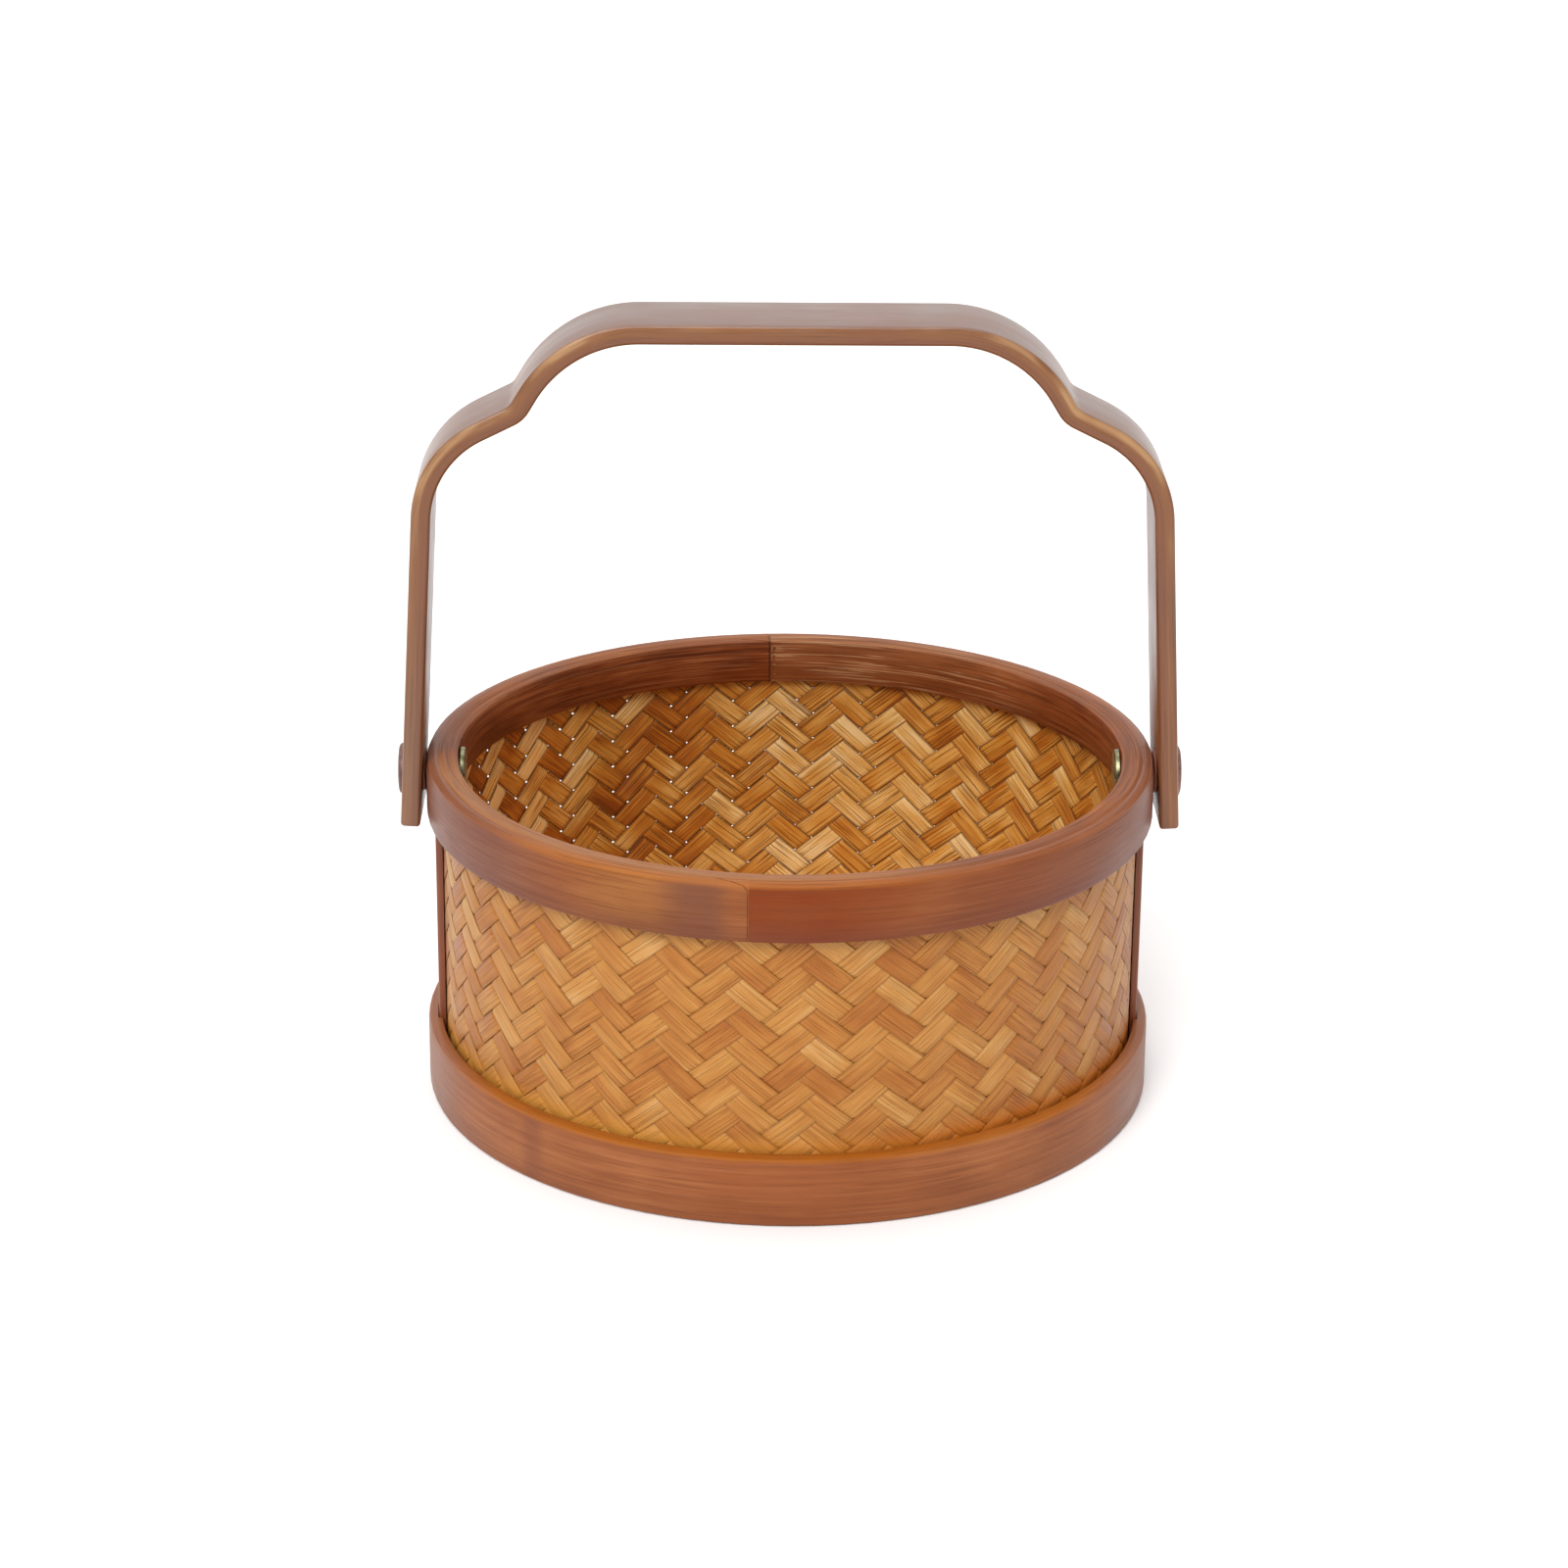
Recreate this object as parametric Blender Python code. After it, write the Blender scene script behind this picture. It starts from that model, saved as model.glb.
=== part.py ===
"""A round woven bamboo basket with a swinging handle.

Run it in Blender 4.5, from the text editor or with blender --background --python part.py.
Units are metres. +Z is up, the front is towards -Y, and the handle spans from -X to +X.
The origin is on the floor, under the middle of the basket.

The woven wall is clamped between two bent hoops at the rim. It stands inside the foot hoop,
round a hidden ring that carries the woven bottom and its two crossed slats. A dark stile
covers the wall at each pivot. The handle is one bent strip, and swings on two posts.
"""

import math

import bmesh
import bpy
from mathutils import Vector

# Clearance between pieces that touch, and how far a cutter runs past what it cuts
GAP = 0.0003
OVERRUN = 0.002

# Woven wall
BASKET_HEIGHT = 0.1054
WALL_OUTER_RADIUS = 0.1054
WALL_THICKNESS = 0.0014
WALL_LIFT = 0.001
RIM_RECESS = 0.0004

# Bent hoops at the rim
RIM_OUTER_THICKNESS = 0.0043
RIM_OUTER_HEIGHT = 0.0178
RIM_INNER_THICKNESS = 0.0036
RIM_INNER_HEIGHT = 0.0142
RIM_CREST_RADIUS = 0.002
HOOP_EDGE_RADIUS = 0.0013
HOOP_SEAM_RADIUS = 0.0004

# Foot hoop, and the slack that its stiles leave between it and the wall
FOOT_OUTER_THICKNESS = 0.0042
FOOT_OUTER_HEIGHT = 0.0214
FOOT_SLACK = 0.0013

# Hidden ring, woven bottom and crossed slats
FOOT_INNER_THICKNESS = 0.0032
FOOT_INNER_HEIGHT = 0.01
FOOT_INNER_LIFT = 0.0015
BASE_THICKNESS = 0.0014
SLAT_WIDTH = 0.014
SLAT_THICKNESS = 0.003
SLAT_EDGE_RADIUS = 0.0004

# Scarf joints of the bent hoops: their length, and where they lie round the basket
SCARF_RUN = 0.012
RIM_OUTER_SCARF_ANGLE = math.radians(-99.7)
RIM_INNER_SCARF_ANGLE = math.radians(96.1)
FOOT_OUTER_SCARF_ANGLE = math.radians(101)
FOOT_INNER_SCARF_ANGLE = math.radians(68)

# Dark upright stiles, and how far their tops lie below the rim
STILE_DROP = 0.0024
STILE_WIDTH = 0.024
STILE_THICKNESS = 0.002
STILE_EDGE_RADIUS = 0.0006

# Handle: a strip bent to a flat crown, two crown bends, two dips, two shoulders and two legs.
# Its rise is measured from the rim to the top of the crown.
HANDLE_RISE = 0.135
HANDLE_WIDTH = 0.029
HANDLE_THICKNESS = 0.0059
HANDLE_EDGE_RADIUS = 0.0011
CROWN_BEND_RADIUS = 0.038
CROWN_BEND_ANGLE = math.radians(59)
RISE_LENGTH = 0.004
DIP_BEND_RADIUS = 0.0075
SHOULDER_SLOPE = math.radians(26.5)
SHOULDER_LENGTH = 0.0105
SHOULDER_BEND_RADIUS = 0.031
LEG_SPLAY = math.radians(3.1)
LEG_END_DROP = 0.0136
LEG_END_ROUND_SHARE = 0.8

# Pivots: post with its cap outside, screw with its brass head inside, washer between.
# They lie this share of the inner hoop's height below the rim.
PIVOT_DROP_SHARE = 0.48
POST_RADIUS = 0.003
POST_BORE_RADIUS = 0.0017
POST_WEB = 0.001
CAP_RADIUS = 0.0078
CAP_THICKNESS = 0.0021
CAP_EDGE_RADIUS = 0.0011
WASHER_RADIUS = 0.0065
WASHER_THICKNESS = 0.0008
SEAT_DEPTH = 0.0007
SCREW_HEAD_RADIUS = 0.0066
SCREW_HEAD_THICKNESS = 0.0013
SCREW_EDGE_RADIUS = 0.0005
SCREW_SHANK_RADIUS = 0.0014
SCREW_SLOT_WIDTH = 0.0012
SCREW_SLOT_DEPTH = 0.0008

# Facets of rings, small turned pieces, rounded corners and bends
RING_STEPS = 96
TURNED_STEPS = 24
CORNER_STEPS = 2
STILE_STEPS = 8
BEND_STEP = math.radians(6)
SHARP_ANGLE = math.radians(35)

# Radii of the stack through the rim, from the wall inwards and outwards
wall_inner_radius = WALL_OUTER_RADIUS - WALL_THICKNESS
rim_inner_outside = wall_inner_radius - GAP
rim_inner_inside = rim_inner_outside - RIM_INNER_THICKNESS
rim_outer_inside = WALL_OUTER_RADIUS + GAP
rim_outer_outside = rim_outer_inside + RIM_OUTER_THICKNESS
foot_outer_inside = WALL_OUTER_RADIUS + FOOT_SLACK
foot_outer_outside = foot_outer_inside + FOOT_OUTER_THICKNESS
foot_inner_inside = rim_inner_outside - FOOT_INNER_THICKNESS
stile_inside = WALL_OUTER_RADIUS + GAP
stile_outside = stile_inside + STILE_THICKNESS
stile_half_angle = STILE_WIDTH / 2 / stile_outside

# Heights
wall_top = BASKET_HEIGHT - RIM_RECESS
stile_top = BASKET_HEIGHT - STILE_DROP
foot_inner_top = FOOT_INNER_LIFT + FOOT_INNER_HEIGHT
base_bottom = foot_inner_top + GAP
pivot_height = BASKET_HEIGHT - PIVOT_DROP_SHARE * RIM_INNER_HEIGHT
handle_top = BASKET_HEIGHT + HANDLE_RISE

# Places along a pivot, measured outwards from the middle of the basket
washer_inside = rim_outer_outside + GAP
leg_inner_seat = washer_inside + WASHER_THICKNESS + GAP
leg_outer_seat = leg_inner_seat + HANDLE_THICKNESS - 2 * SEAT_DEPTH
leg_middle = (leg_inner_seat + leg_outer_seat) / 2
cap_inside = leg_outer_seat + GAP
cap_outside = cap_inside + CAP_THICKNESS
head_seat = math.sqrt(rim_inner_inside ** 2 - SCREW_HEAD_RADIUS ** 2) - GAP
head_face = head_seat - SCREW_HEAD_THICKNESS
tube_end = rim_inner_inside + POST_WEB
bore_end = cap_inside - POST_WEB
screw_end = bore_end - GAP
bore_radius = POST_RADIUS + GAP

SIDES = (("left", -1), ("right", 1))


def make_material(name, colour, roughness, metallic=0):
    """One Principled material with a plain colour."""
    material = bpy.data.materials.new(name)
    material.use_nodes = True
    shader = material.node_tree.nodes["Principled BSDF"]
    shader.inputs["Base Color"].default_value = (*colour, 1)
    shader.inputs["Roughness"].default_value = roughness
    shader.inputs["Metallic"].default_value = metallic
    material.diffuse_color = (*colour, 1)
    return material


def finish_mesh(bm, name):
    """Turn a bmesh into a mesh with its faces out and its round stretches smooth."""
    bmesh.ops.recalc_face_normals(bm, faces=bm.faces)
    mesh = bpy.data.meshes.new(name)
    bm.to_mesh(mesh)
    bm.free()
    mesh.shade_smooth()
    mesh.set_sharp_from_angle(angle=SHARP_ANGLE)
    return mesh


def place(name, mesh, material=None, parent=None, location=(0, 0, 0), turn=0):
    """Link a mesh as a named object, turned about Y and placed under its parent."""
    piece = bpy.data.objects.new(name, mesh)
    bpy.context.scene.collection.objects.link(piece)
    piece.parent = parent
    piece.location = location
    piece.rotation_euler = (0, turn, 0)
    if material is not None:
        mesh.materials.append(material)
    return piece


def make_empty(name, location):
    """An empty that carries pieces."""
    empty = bpy.data.objects.new(name, None)
    bpy.context.scene.collection.objects.link(empty)
    empty.location = location
    return empty


def place_cutter(name, mesh, location=(0, 0, 0), turn=0):
    """A guide solid that only cuts others."""
    cutter = place(name, mesh, location=location, turn=turn)
    cutter.hide_render = True
    cutter.display_type = "WIRE"
    return cutter


def cut(piece, cutter):
    """Take the cutter's shape out of the piece."""
    modifier = piece.modifiers.new(cutter.name, "BOOLEAN")
    modifier.operation = "DIFFERENCE"
    modifier.solver = "EXACT"
    modifier.object = cutter


def arc(centre_u, centre_v, radius, start, turn, steps):
    """Points along an arc, with both of its ends."""
    points = []
    for k in range(steps + 1):
        angle = start + turn * k / steps
        points.append((centre_u + radius * math.cos(angle), centre_v + radius * math.sin(angle)))
    return points


def rounded_box(low, high, radii):
    """Outline of a box, anticlockwise from its lower left corner, as its corner radii are."""
    corners = ((low[0], low[1], 1, 1), (high[0], low[1], -1, 1),
               (high[0], high[1], -1, -1), (low[0], high[1], 1, -1))
    points = []
    for k, (u, v, side_u, side_v) in enumerate(corners):
        radius = radii[k]
        if radius == 0:
            points.append((u, v))
            continue
        start = math.pi + k * math.pi / 2
        points += arc(u + side_u * radius, v + side_v * radius, radius, start, math.pi / 2, CORNER_STEPS)
    return points


def join_rings(bm, rings, closed_outline, closed_loop):
    """Bridge neighbouring rings of vertices. A ring of one vertex is a point on the axis."""
    count = len(rings)
    for k in range(count if closed_loop else count - 1):
        first = rings[k]
        second = rings[(k + 1) % count]
        size = max(len(first), len(second))
        for j in range(size if closed_outline else size - 1):
            corners = []
            for ring, index in ((first, j), (first, j + 1), (second, j + 1), (second, j)):
                vertex = ring[index % len(ring)]
                if vertex not in corners:
                    corners.append(vertex)
            if len(corners) > 2:
                bm.faces.new(corners)


def turned(name, outline, steps, closed=True):
    """Revolve an outline of (radius, height) points about Z.

    An open outline starts and ends on the axis.
    """
    bm = bmesh.new()
    rings = []
    for radius, height in outline:
        count = steps if radius > 0 else 1
        ring = []
        for j in range(count):
            angle = 2 * math.pi * j / steps
            ring.append(bm.verts.new((radius * math.cos(angle), radius * math.sin(angle), height)))
        rings.append(ring)
    join_rings(bm, rings, True, closed)
    return finish_mesh(bm, name)


def prism(name, outline, low, high, axis="Z"):
    """Extrude a plan outline along an axis, with a flat face at each end."""
    bm = bmesh.new()
    rings = []
    for level in (low, high):
        ring = []
        for u, v in outline:
            point = {"X": (level, u, v), "Y": (u, level, v), "Z": (u, v, level)}[axis]
            ring.append(bm.verts.new(point))
        rings.append(ring)
    join_rings(bm, rings, True, False)
    bm.faces.new(rings[0])
    bm.faces.new(rings[1])
    return finish_mesh(bm, name)


def box_outline(half_u, half_v, middle_v=0):
    """Plan outline of a box round (0, middle_v)."""
    return [(-half_u, middle_v - half_v), (half_u, middle_v - half_v),
            (half_u, middle_v + half_v), (-half_u, middle_v + half_v)]


def cut_scarf(hoop, inside, outside, bottom, top, angle):
    """Part a bent hoop by a thin slanted slot, where its two tapered ends lap."""
    thickness = outside - inside
    tangent = Vector((-math.sin(angle), math.cos(angle)))
    radial = Vector((math.cos(angle), math.sin(angle)))
    along = (tangent * SCARF_RUN + radial * thickness).normalized()
    across = Vector((-along.y, along.x))
    middle = radial * (inside + outside) / 2
    half_length = math.hypot(SCARF_RUN, thickness) / 2 + OVERRUN
    outline = []
    for side_u, side_v in ((-1, -1), (1, -1), (1, 1), (-1, 1)):
        point = middle + along * side_u * half_length + across * side_v * GAP / 2
        outline.append((point.x, point.y))
    mesh = prism(hoop.name + "_scarf", outline, bottom - OVERRUN, top + OVERRUN)
    cut(hoop, place_cutter(hoop.name + "_scarf", mesh))


def make_hoop(name, material, parent, inside, outside, bottom, top, radii, scarf_angle):
    """A bent hoop with rounded edges, parted by its scarf joint."""
    outline = rounded_box((inside, bottom), (outside, top), radii)
    hoop = place(name, turned(name, outline, RING_STEPS), material, parent)
    cut_scarf(hoop, inside, outside, bottom, top, scarf_angle)
    return hoop


def make_wall(material, parent):
    """The woven sheet, rolled into a cylinder and clamped by the rim hoops."""
    outline = rounded_box((wall_inner_radius, WALL_LIFT), (WALL_OUTER_RADIUS, wall_top), (0, 0, 0, 0))
    return place("wall_weave", turned("wall_weave", outline, RING_STEPS), material, parent)


def make_rim(material, dark_material, parent):
    """The outer and the inner hoop that clamp the wall's upper edge."""
    edge = HOOP_EDGE_RADIUS
    seam = HOOP_SEAM_RADIUS
    outer = make_hoop("rim_hoop_outer", material, parent, rim_outer_inside, rim_outer_outside,
                      BASKET_HEIGHT - RIM_OUTER_HEIGHT, BASKET_HEIGHT,
                      (0, edge, RIM_CREST_RADIUS, seam), RIM_OUTER_SCARF_ANGLE)
    inner = make_hoop("rim_hoop_inner", dark_material, parent, rim_inner_inside, rim_inner_outside,
                      BASKET_HEIGHT - RIM_INNER_HEIGHT, BASKET_HEIGHT,
                      (edge, 0, seam, edge), RIM_INNER_SCARF_ANGLE)
    return outer, inner


def make_foot(material, dark_material, parent):
    """The hoop that the basket stands on, and the hidden ring that carries the bottom."""
    edge = HOOP_EDGE_RADIUS
    seam = HOOP_SEAM_RADIUS
    outer = make_hoop("foot_hoop_outer", material, parent, foot_outer_inside, foot_outer_outside,
                      0, FOOT_OUTER_HEIGHT, (0, edge, edge, seam), FOOT_OUTER_SCARF_ANGLE)
    inner = make_hoop("foot_hoop_inner", dark_material, parent, foot_inner_inside, rim_inner_outside,
                      FOOT_INNER_LIFT, foot_inner_top, (0, 0, 0, 0), FOOT_INNER_SCARF_ANGLE)
    return outer, inner


def make_base(material, parent):
    """The woven bottom, which rests on the hidden ring inside the wall."""
    outline = [(0, base_bottom), (rim_inner_outside, base_bottom),
               (rim_inner_outside, base_bottom + BASE_THICKNESS), (0, base_bottom + BASE_THICKNESS)]
    return place("base_weave", turned("base_weave", outline, RING_STEPS, closed=False), material, parent)


def slat_outline(lap_from_below):
    """Side view of a slat, with the notch of its half lap at the middle."""
    half_length = math.sqrt(rim_inner_outside ** 2 - (SLAT_WIDTH / 2) ** 2)
    half_lap = SLAT_WIDTH / 2 + GAP
    low = foot_inner_top - SLAT_THICKNESS
    middle = foot_inner_top - SLAT_THICKNESS / 2
    if lap_from_below:
        notch = middle + GAP / 2
        return [(-half_length, low), (-half_lap, low), (-half_lap, notch), (half_lap, notch),
                (half_lap, low), (half_length, low), (half_length, foot_inner_top),
                (-half_length, foot_inner_top)]
    notch = middle - GAP / 2
    return [(-half_length, low), (half_length, low), (half_length, foot_inner_top),
            (half_lap, foot_inner_top), (half_lap, notch), (-half_lap, notch),
            (-half_lap, foot_inner_top), (-half_length, foot_inner_top)]


def make_slats(material, parent, ring):
    """Two slats crossed under the bottom, let into notches in the hidden ring."""
    half_width = SLAT_WIDTH / 2
    notch_half_height = (SLAT_THICKNESS + GAP + OVERRUN) / 2
    notch_middle = foot_inner_top + OVERRUN - notch_half_height
    notch = box_outline(half_width + GAP, notch_half_height, notch_middle)
    reach = rim_inner_outside + OVERRUN
    for axis, run_axis, lap_from_below in (("x", "Y", True), ("y", "X", False)):
        name = "base_slat_" + axis
        slat = place(name, prism(name, slat_outline(lap_from_below), -half_width, half_width, run_axis),
                     material, parent)
        bevel = slat.modifiers.new("edges", "BEVEL")
        bevel.width = SLAT_EDGE_RADIUS
        bevel.segments = 1
        bevel.limit_method = "ANGLE"
        long_axis = "X" if axis == "x" else "Y"
        cutter = place_cutter(name + "_notch", prism(name + "_notch", notch, -reach, reach, long_axis))
        cut(ring, cutter)


def stile_plan(inside, outside, half_angle, radius, middle_angle):
    """Full plan of a stile: inner arc, rounded corner, outer arc, rounded corner."""
    points = []
    for k in range(STILE_STEPS + 1):
        angle = half_angle * (1 - 2 * k / STILE_STEPS)
        points.append((inside, angle))
    inset = radius / outside
    corner = []
    for k in range(CORNER_STEPS + 1):
        turn = math.pi / 2 * k / CORNER_STEPS
        corner.append((outside - radius * (1 - math.sin(turn)), inset * (1 - math.cos(turn))))
    points += [(reach, -half_angle + shift) for reach, shift in corner]
    for k in range(1, STILE_STEPS):
        points.append((outside, (half_angle - inset) * (2 * k / STILE_STEPS - 1)))
    points += [(reach, half_angle - shift) for reach, shift in reversed(corner)]
    return [(reach * math.cos(middle_angle + angle), reach * math.sin(middle_angle + angle))
            for reach, angle in points]


def make_stiles(material, parent, rim_hoop, foot_hoop):
    """A dark strip over the wall at each pivot, let into pockets in both outer hoops."""
    stiles = []
    for side, sign in SIDES:
        middle_angle = 0 if sign > 0 else math.pi
        name = "side_stile_" + side
        plan = stile_plan(stile_inside, stile_outside, stile_half_angle, STILE_EDGE_RADIUS, middle_angle)
        stile = place(name, prism(name, plan, WALL_LIFT, stile_top), material, parent)
        stiles.append(stile)
        pocket = stile_plan(wall_inner_radius, stile_outside + GAP, stile_half_angle + GAP / stile_outside,
                            STILE_EDGE_RADIUS, middle_angle)
        pocket_name = name + "_pocket"
        mesh = prism(pocket_name, pocket, -OVERRUN, stile_top + GAP)
        pocket_cutter = place_cutter(pocket_name, mesh)
        cut(rim_hoop, pocket_cutter)
        cut(foot_hoop, pocket_cutter)
    return stiles


def extend_arc(path, radius, heading, bend):
    """Add a bend to a path of (x, z, heading): bend 1 turns down, and -1 turns back up."""
    x, z, start = path[-1]
    steps = max(2, round(abs(heading - start) / BEND_STEP))
    for k in range(1, steps + 1):
        angle = start + (heading - start) * k / steps
        path.append((x + bend * radius * (math.sin(angle) - math.sin(start)),
                     z - bend * radius * (math.cos(start) - math.cos(angle)), angle))


def extend_line(path, length):
    """Add a straight stretch to the end of a path."""
    x, z, heading = path[-1]
    path.append((x + length * math.cos(heading), z - length * math.sin(heading), heading))


def half_handle_path():
    """Centre line of the right half, from the middle of the crown to the end of the leg.

    The crown's flat is as long as the bends leave between the two pivots.
    """
    leg_heading = math.pi / 2 - LEG_SPLAY
    path = [(0, handle_top - HANDLE_THICKNESS / 2 - pivot_height, 0)]
    extend_arc(path, CROWN_BEND_RADIUS, CROWN_BEND_ANGLE, 1)
    extend_line(path, RISE_LENGTH)
    extend_arc(path, DIP_BEND_RADIUS, SHOULDER_SLOPE, -1)
    extend_line(path, SHOULDER_LENGTH)
    extend_arc(path, SHOULDER_BEND_RADIUS, leg_heading, 1)
    pivot_run = path[-1][1] / math.sin(leg_heading)
    flat = leg_middle - path[-1][0] - pivot_run * math.cos(leg_heading)
    path = [(0, path[0][1], 0)] + [(x + flat, z, heading) for x, z, heading in path]
    extend_line(path, pivot_run + LEG_END_DROP / math.sin(leg_heading))
    return path


def leg_end_sections(path):
    """Stations that round the end of the leg over, as (x, z, heading, inset)."""
    x, z, heading = path[-1]
    radius = HANDLE_EDGE_RADIUS * LEG_END_ROUND_SHARE
    sections = []
    for k in range(CORNER_STEPS + 1):
        turn = math.pi / 2 * k / CORNER_STEPS
        back = radius * (1 - math.sin(turn))
        sections.append((x - back * math.cos(heading), z + back * math.sin(heading), heading,
                         radius * (1 - math.cos(turn))))
    return sections


def make_handle(material, pivot):
    """The bent strip: a rounded section carried along its centre line."""
    path = half_handle_path()
    right = [(x, z, heading, 0) for x, z, heading in path[:-1]] + leg_end_sections(path)
    left = [(-x, z, -heading, inset) for x, z, heading, inset in reversed(right[1:])]
    bm = bmesh.new()
    rings = []
    for x, z, heading, inset in left + right:
        half_thickness = HANDLE_THICKNESS / 2 - inset
        half_width = HANDLE_WIDTH / 2 - inset
        radii = [HANDLE_EDGE_RADIUS - inset] * 4
        outline = rounded_box((-half_thickness, -half_width), (half_thickness, half_width), radii)
        ring = []
        for out, along_y in outline:
            ring.append(bm.verts.new((x + out * math.sin(heading), along_y, z + out * math.cos(heading))))
        rings.append(ring)
    join_rings(bm, rings, True, False)
    bm.faces.new(rings[0])
    bm.faces.new(rings[-1])
    return place("handle", finish_mesh(bm, "handle"), material, pivot)


def side_turn(sign):
    """Turn about Y that lays a turned piece's axis outwards along X."""
    return sign * math.pi / 2


def cut_leg(handle, side, sign):
    """Bore a leg for its post, with a flat seat for the cap and one for the washer."""
    seat_radius = CAP_RADIUS + GAP
    inner_radius = WASHER_RADIUS + GAP
    start = leg_inner_seat - OVERRUN
    end = leg_outer_seat + OVERRUN
    outline = [(0, start), (inner_radius, start), (inner_radius, leg_inner_seat),
               (bore_radius, leg_inner_seat), (bore_radius, leg_outer_seat),
               (seat_radius, leg_outer_seat), (seat_radius, end), (0, end)]
    name = "leg_bore_" + side
    mesh = turned(name, outline, TURNED_STEPS, closed=False)
    cut(handle, place_cutter(name, mesh, (0, 0, pivot_height), side_turn(sign)))


def cut_pivot_holes(pieces, side, sign):
    """Bore the hoops, the wall and the stile for the post."""
    start = rim_inner_inside - OVERRUN
    end = rim_outer_outside + OVERRUN
    outline = [(0, start), (bore_radius, start), (bore_radius, end), (0, end)]
    name = "rim_bore_" + side
    mesh = turned(name, outline, TURNED_STEPS, closed=False)
    cutter = place_cutter(name, mesh, (0, 0, pivot_height), side_turn(sign))
    for piece in pieces:
        cut(piece, cutter)


def make_post(material, parent, side, sign):
    """The cap outside the leg, with a tube through leg, washer and hoops."""
    edge = CAP_EDGE_RADIUS
    rim = arc(CAP_RADIUS - edge, cap_outside - edge, edge, math.pi / 2, -math.pi / 2, CORNER_STEPS)
    outline = [(0, cap_outside)] + rim
    outline += [(CAP_RADIUS, cap_inside), (POST_RADIUS, cap_inside), (POST_RADIUS, tube_end),
                (POST_BORE_RADIUS, tube_end), (POST_BORE_RADIUS, bore_end), (0, bore_end)]
    name = "pivot_post_" + side
    place(name, turned(name, outline, TURNED_STEPS, closed=False), material, parent,
          (0, 0, pivot_height), side_turn(sign))


def make_screw(material, parent, side, sign):
    """The brass screw inside the rim, with a level slot across its head."""
    edge = SCREW_EDGE_RADIUS
    rim = arc(SCREW_HEAD_RADIUS - edge, head_face + edge, edge, -math.pi / 2, math.pi / 2, CORNER_STEPS)
    outline = [(0, head_face)] + rim
    outline += [(SCREW_HEAD_RADIUS, head_seat), (SCREW_SHANK_RADIUS, head_seat),
                (SCREW_SHANK_RADIUS, screw_end), (0, screw_end)]
    name = "pivot_screw_" + side
    screw = place(name, turned(name, outline, TURNED_STEPS, closed=False), material, parent,
                  (0, 0, pivot_height), side_turn(sign))
    reach = SCREW_HEAD_RADIUS + OVERRUN
    slot_half_depth = (SCREW_SLOT_DEPTH + OVERRUN) / 2
    slot_middle = head_face + SCREW_SLOT_DEPTH - slot_half_depth
    slot = box_outline(SCREW_SLOT_WIDTH / 2, slot_half_depth, slot_middle)
    mesh = prism(name + "_slot", slot, -reach, reach, "Y")
    cut(screw, place_cutter(name + "_slot", mesh, (0, 0, pivot_height), side_turn(sign)))


def make_washer(material, parent, side, sign):
    """The thin washer between hoop and leg."""
    low = (bore_radius, washer_inside)
    high = (WASHER_RADIUS, washer_inside + WASHER_THICKNESS)
    name = "pivot_washer_" + side
    place(name, turned(name, rounded_box(low, high, (0, 0, 0, 0)), TURNED_STEPS), material, parent,
          (0, 0, pivot_height), side_turn(sign))


def build():
    """Clear the scene and make every piece."""
    for old in list(bpy.data.objects):
        bpy.data.objects.remove(old, do_unlink=True)

    weave = make_material("woven_bamboo", (0.53, 0.30, 0.09), 0.45)
    hoop = make_material("hoop_bamboo", (0.30, 0.12, 0.05), 0.40)
    dark_hoop = make_material("inner_hoop_bamboo", (0.17, 0.06, 0.025), 0.45)
    stile = make_material("stile_bamboo", (0.10, 0.022, 0.014), 0.40)
    slat = make_material("slat_bamboo", (0.36, 0.20, 0.08), 0.55)
    handle_wood = make_material("handle_bamboo", (0.27, 0.135, 0.07), 0.38)
    cap = make_material("cap_bronze", (0.09, 0.045, 0.04), 0.42, 0.6)
    brass = make_material("screw_brass", (0.60, 0.52, 0.26), 0.28, 1)
    washer = make_material("washer_fibre", (0.06, 0.03, 0.02), 0.70)

    basket = make_empty("basket_frame", (0, 0, 0))
    pivot = make_empty("handle_pivot", (0, 0, pivot_height))

    wall = make_wall(weave, basket)
    rim_outer, rim_inner = make_rim(hoop, dark_hoop, basket)
    foot_outer, foot_inner = make_foot(hoop, dark_hoop, basket)
    make_base(weave, basket)
    make_slats(slat, basket, foot_inner)
    stiles = make_stiles(stile, basket, rim_outer, foot_outer)
    handle = make_handle(handle_wood, pivot)

    for (side, sign), side_stile in zip(SIDES, stiles):
        cut_leg(handle, side, sign)
        cut_pivot_holes((rim_outer, wall, rim_inner, side_stile), side, sign)
        make_post(cap, basket, side, sign)
        make_screw(brass, basket, side, sign)
        make_washer(washer, basket, side, sign)


build()
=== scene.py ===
"""Looks of the woven bamboo basket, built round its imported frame.

The woven wall and bottom are made strip by strip, the wall's stained upper edge as a thin
ring, and the handle as one finely bent strip. The hoops, stiles, slats, posts, screws and
washers are the frame's own solids, smoothed and given materials.
Lengths are in metres, in the frame's coordinates.
"""

import math

import bmesh
import bpy
import numpy as np
from mathutils import Matrix, Vector


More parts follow.
